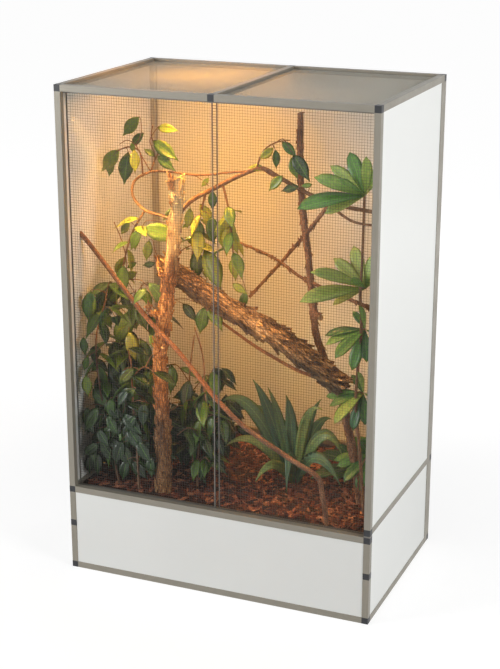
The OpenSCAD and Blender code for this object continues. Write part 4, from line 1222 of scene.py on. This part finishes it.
# Painted shade: the lower thickets get deeper tints.
left_shown = (placed(LEFT_CLUSTER, 5)
              + thicket((-475, -268, 240), (-260, -110, 400), 80, 82, 70, 0.4, ALL_SPACE)
              + thicket((-475, -265, 75), (-245, -80, 250), 150, 78, 80, 0.2, ALL_SPACE))
middle_shown = thicket((-300, -90, 70), (-90, 120, 215), 130, 75, 90, 0.15, ALL_SPACE)
build_ficus("left_ficus", [
    (FICUS_A, 26, 9, 0.12, 1, 1.0, 0.3), (FICUS_B, 26, 11, 0.13, 2, 1.0, 0.35),
    (FICUS_C, 18, 8, 0.11, 3, 1.0, 0.25)],
    0.15, 0.2, 6, FICUS_LEAF, 200, 0.3, left_shown, 0.08)
build_ficus("middle_ficus", [
    (FICUS_D, 12, 7, 0.1, 4, 0.6, 0.3), (FICUS_E, 12, 7, 0.1, 5, 0.7, 0.25)],
    0.1, 0.1, 5, FICUS_LEAF * 0.9, 300, 0.2, middle_shown, 0.12)

# %% [markdown]
# ## The umbrella plant
#
# Its leaflets spread like the ribs of an umbrella from the end of each stalk. Such a whorl
# could be made by turning one leaflet about a point, but in real whorls the leaflets differ.
# So two whorls are listed leaflet by leaflet, and each is used again in several sizes.

# %% Whorls of leaflets
# The way from the whorl to each leaflet's tip, in millimetres: across, back and up.
RISING_FAN = ((-117, -92, 82), (-93, -17, 98), (-52, 22, 116), (13, -16, 105), (-143, -124, 8),
              (-90, -70, -28), (7, -95, 60), (-32, -78, 66), (37, 15, 90), (40, -60, 70),
              (-70, 60, 50))
FALLING_FAN = ((-115, -30, -5), (-95, -60, -20), (-80, -40, -70), (-20, -60, -100), (-40, 20, 45),
               (5, -30, 70), (-60, 60, -20), (30, -70, -60), (-50, -100, -40), (40, 40, -30))
# The last number of a whorl is its tint, partly painted shade: the low whorls are deep green.
WHORLS = (((395, -125, 975), RISING_FAN, 1.0, 0.5), ((405, -125, 700), RISING_FAN, 0.98, 0.5),
          ((405, -125, 575), FALLING_FAN, 1.0, 0.12), ((405, -125, 375), FALLING_FAN, 1.0, 0.25),
          ((410, -60, 150), FALLING_FAN, 0.9, 0.1), ((345, 60, 60), RISING_FAN, 0.8, 0.0),
          ((430, 150, 80), RISING_FAN, 0.9, 0.0))
WHORL_FACING = Vector((0.15, -0.5, 0.8))
STALK_STEP = 8


def umbrella_leaflets():
    made = []
    for number, (foot, fan, size, tint) in enumerate(WHORLS):
        for k, way in enumerate(fan):
            tip = [a + b * size * (0.9 + 0.2 * chance(k, number)) for a, b in zip(foot, way)]
            if in_room(route([tip])[0]):
                made.append((foot, tip, tint + 0.55 * (chance(k, number + 90) - 0.2)))
    return placed(made, 9, WHORL_FACING)


leaflets = umbrella_leaflets()
whorl_stalks = stalks(leaflets, [UMBRELLA])
keep_piece("umbrella_plant_stem", stems([(UMBRELLA, STEM_R * 1.4, 0.7)] + [
    (stalk, STEM_R * 0.6, 0.8) for stalk in whorl_stalks[::STALK_STEP]], 61.0),
    "umbrella_plant")
keep_piece("umbrella_plant_leaves", leaves_mesh(leaflets, umbrella_leaf, umbrella_green),
           "umbrella_plant")
print("umbrella leaflets", len(leaflets))

# %% [markdown]
# ## The strap-leaf plant
#
# Its long leaves rise from a crown and arch over. Each leaf has its own arc, so a copied leaf
# would not do. It is lofted in Python: rows of points across the leaf, folded along the
# middle, follow the arc.

# %% The arcs
# Each leaf by its middle and its tip, in millimetres from the crown, its width and its tint,
# which is partly its own colour and partly painted light and shade.
STRAP_LEAVES = (
    ((-75, -20, 220), (-130, -40, 345), 42, 0.15), ((-40, -25, 200), (-75, -50, 330), 32, 0.35),
    ((-10, -10, 190), (-25, -20, 300), 42, 0.25), ((45, -30, 225), (110, -60, 285), 34, 0.6),
    ((35, 25, 190), (75, 30, 285), 26, 0.2), ((95, -20, 175), (170, -30, 125), 30, 0.55),
    ((70, 20, 165), (140, 30, 140), 26, 0.3), ((-130, -30, 235), (-225, -60, 265), 46, 0.3),
    ((-80, 10, 190), (-170, 20, 225), 40, 0.2), ((-110, -50, 140), (-205, -90, 125), 32, 0.6),
    ((-45, -70, 80), (-85, -125, 40), 34, 0.55), ((5, -60, 110), (15, -115, 15), 34, 0.15),
    ((90, -55, 120), (185, -95, 60), 44, 0.2), ((-60, 50, 150), (-110, 90, 200), 36, 0.2),
    ((40, 60, 160), (80, 110, 190), 36, 0.2))
print("strap leaves", len(STRAP_LEAVES))

# %% One arching leaf
STRAP_STEPS, STRAP_TIP = 16, 0.06
STRAP_THICK, STRAP_FOLD, STRAP_RIPPLE, RIPPLE_SPEED = 0.0008, 0.3, 0.12, 9
STRAP_VEINS = 3
STRAP_FACING = Vector((0.3, -0.75, 0.6))


def strap_leaf(build, layers, foot, middle, tip, width, tint):
    bow = 2 * middle - (foot + tip) / 2
    spine = [(1 - t) ** 2 * foot + 2 * t * (1 - t) * bow + t * t * tip
             for t in (i / STRAP_STEPS for i in range(STRAP_STEPS + 1))]

    def place(turn, i, v):
        t = i / STRAP_STEPS
        along = (spine[min(i + 1, STRAP_STEPS)] - spine[max(i - 1, 0)]).normalized()
        face = (STRAP_FACING - STRAP_FACING.dot(along) * along).normalized()
        side = face.cross(along)
        half = width / 2 * max(STRAP_TIP, math.sin(math.pi * t ** 0.75))
        ripple = STRAP_RIPPLE * half * math.sin(RIPPLE_SPEED * t + 5 * tint)
        lift = STRAP_FOLD * abs(v) * half + ripple * v * abs(v)
        thick = 0 if abs(v) == 1 else turn * STRAP_THICK * (1.2 - abs(v))
        vertex = build.verts.new(spine[i] + v * half * side + (lift + thick) * face)
        vertex[layers[0]] = (t * STRAP_VEINS, v, 0)
        vertex[layers[1]] = tint
        return vertex

    sheets = two_sheets(STRAP_STEPS + 1, lambda i, v: abs(v) == 1, place)
    sheet_faces(build, sheets, (0, 3, 2, 1))
    for end in (0, STRAP_STEPS):
        ring = sheets[0][end] + sheets[1][end][3:0:-1]
        build.faces.new(ring[::-1] if end else ring)


# %% The whole plant
STRAP_CROWN = route([(150, -20, 0)])[0]
CROWN_R = 0.009


def build_strap_plant():
    build = bmesh.new()
    layers = (build.verts.layers.float_vector.new("leaf_place"),
              build.verts.layers.float.new("tint"))
    for middle, tip, width, tint in STRAP_LEAVES:
        out = Vector((tip[0], tip[1], 0)).normalized()
        strap_leaf(build, layers, STRAP_CROWN + CROWN_R * out, STRAP_CROWN + MM * Vector(middle),
                   STRAP_CROWN + MM * Vector(tip), MM * width, tint)
    bmesh.ops.recalc_face_normals(build, faces=build.faces)
    mesh = mesh_of(build, "strap_leaf_plant_leaves")
    mesh.materials.append(strap_green)
    mesh.shade_smooth()
    keep_piece("strap_leaf_plant_leaves", mesh, "strap_leaf_plant")


build_strap_plant()

# %% [markdown]
# ## The bark floor
#
# Loose chips of bark cover the floor. Thousands of them are scattered by Geometry Nodes over
# a gently uneven bed, because bump alone would look flat at the front edge. One chip is a
# rough flat lump, and each copy is turned and stretched by chance with a fixed seed.

# %% The bed under the chips
BED_LOW, BED_HIGH = Vector((-0.4905, -0.2845, 0)), Vector((0.4905, 0.3105, 0.279))
BED_SINK, BED_WAVE, WAVE_SCALE = 0.004, 0.006, 9
BED_COLUMNS, BED_ROWS = 60, 36
CHIP_INSET = 0.022


def bed_height(x, y):
    wave = noise.noise(Vector((x * WAVE_SCALE, y * WAVE_SCALE, 0)))
    return BED_HIGH.z - BED_SINK + BED_WAVE * wave


def build_bed(inset=0.0):
    """A wavy sheet, which is smaller all round by inset."""
    build = bmesh.new()
    grid = []
    for j in range(BED_ROWS + 1):
        y = BED_LOW.y + inset + (BED_HIGH.y - BED_LOW.y - 2 * inset) * j / BED_ROWS
        grid.append([build.verts.new((x, y, bed_height(x, y))) for x in (
            BED_LOW.x + inset + (BED_HIGH.x - BED_LOW.x - 2 * inset) * i / BED_COLUMNS
            for i in range(BED_COLUMNS + 1))])
    for near, far in zip(grid, grid[1:]):
        for i in range(BED_COLUMNS):
            build.faces.new([near[i], near[i + 1], far[i + 1], far[i]])
    return mesh_of(build, "bark_bed_top")


bed_mesh = build_bed()
print("bed", BED_COLUMNS, "by", BED_ROWS, "faces")


# %% One chip, and the tree that scatters it
CHIP_THICK, CHIP_WARP, CHIP_CURL = 0.16, 0.12, 0.15
LEAST_TILT, MOST_TILT = (-0.5, -0.4, 0.0), (0.5, 0.4, math.tau)


def chip_object():
    build = bmesh.new()
    bmesh.ops.create_cube(build, size=1.0)
    bmesh.ops.subdivide_edges(build, edges=build.edges[:], cuts=1, use_grid_fill=True)
    for i, vertex in enumerate(build.verts):
        x, y, z = vertex.co
        vertex.co = (x * (1 - 0.5 * chance(i, 3) * abs(y)), y * (1 - 0.7 * abs(x) * chance(i, 5)),
                     z * CHIP_THICK + CHIP_WARP * (chance(i, 7) - 0.5) + CHIP_CURL * x ** 2)
    return bpy.data.objects.new("chip", mesh_of(build, "chip"))


def chip_tree():
    tree, codes, entry = new_tree("Scattered bark chips", {
        "Chip": "Object", "Density": "Float", "Smallest": "Vector", "Largest": "Vector",
        "Seed": "Int", "Material": "Material"})
    points = scattered(tree, entry)
    tilt = random_vector(tree, LEAST_TILT, MOST_TILT, entry["Seed"])
    scale = random_vector(tree, entry["Smallest"], entry["Largest"], entry["Seed"])
    chips = copies(tree, points["Points"], entry["Chip"], tilt, scale)
    tint = add_node(tree, "FunctionNodeRandomValue", {2: 0.0, 3: 1.0, "Seed": entry["Seed"]},
                    data_type="FLOAT").outputs[1]
    chips = add_node(tree, "GeometryNodeStoreNamedAttribute", {
        0: chips, "Name": "tint", "Value": tint}, domain="INSTANCE").outputs[0]
    end_tree(tree, chips, entry["Material"])
    return tree, codes


CHIPS, CHIP_CODES = chip_tree()
print("chip tree has", len(CHIPS.nodes), "nodes")


# %% The finish of the bark, and the floor
def bark_finish(name):
    material, tree = new_material(name)
    tint = add_node(tree, "ShaderNodeAttribute", attribute_name="tint").outputs["Fac"]
    place = coordinates(tree)
    grain = noise_value(tree, place, 260.0, 4.0, 0.65)
    stains = noise_value(tree, place, 12.0, 3.0)
    shade = maths(tree, "ADD", tint, spread(tree, grain, -0.25, 0.25))
    colour = colour_ramp(tree, shade, [(0.0, (0.012, 0.005, 0.004)), (0.45, (0.08, 0.02, 0.012)),
                                       (0.8, (0.3, 0.08, 0.04)), (1.0, (0.55, 0.24, 0.12))])
    colour = mix_colours(tree, spread(tree, stains, 0.0, 0.35), colour, (0.04, 0.015, 0.01))
    return surface(material, tree, {
        "Base Color": colour, "Roughness": spread(tree, grain, 0.6, 0.85),
        "Normal": bump(tree, grain, 0.7, 0.0015)})


bark_red = bark_finish("red bark chips")
bed_mesh.materials.append(bark_red)
chip_mesh = grown(build_bed(CHIP_INSET), CHIPS, CHIP_CODES, {
    "Chip": chip_object(), "Density": 7000.0, "Smallest": (0.014, 0.007, 0.012),
    "Largest": (0.046, 0.02, 0.03), "Seed": 4, "Material": bark_red})
keep_piece("bark_bed_soil", bed_mesh, "bark_bed")
keep_piece("bark_chips", chip_mesh, "bark_bed")
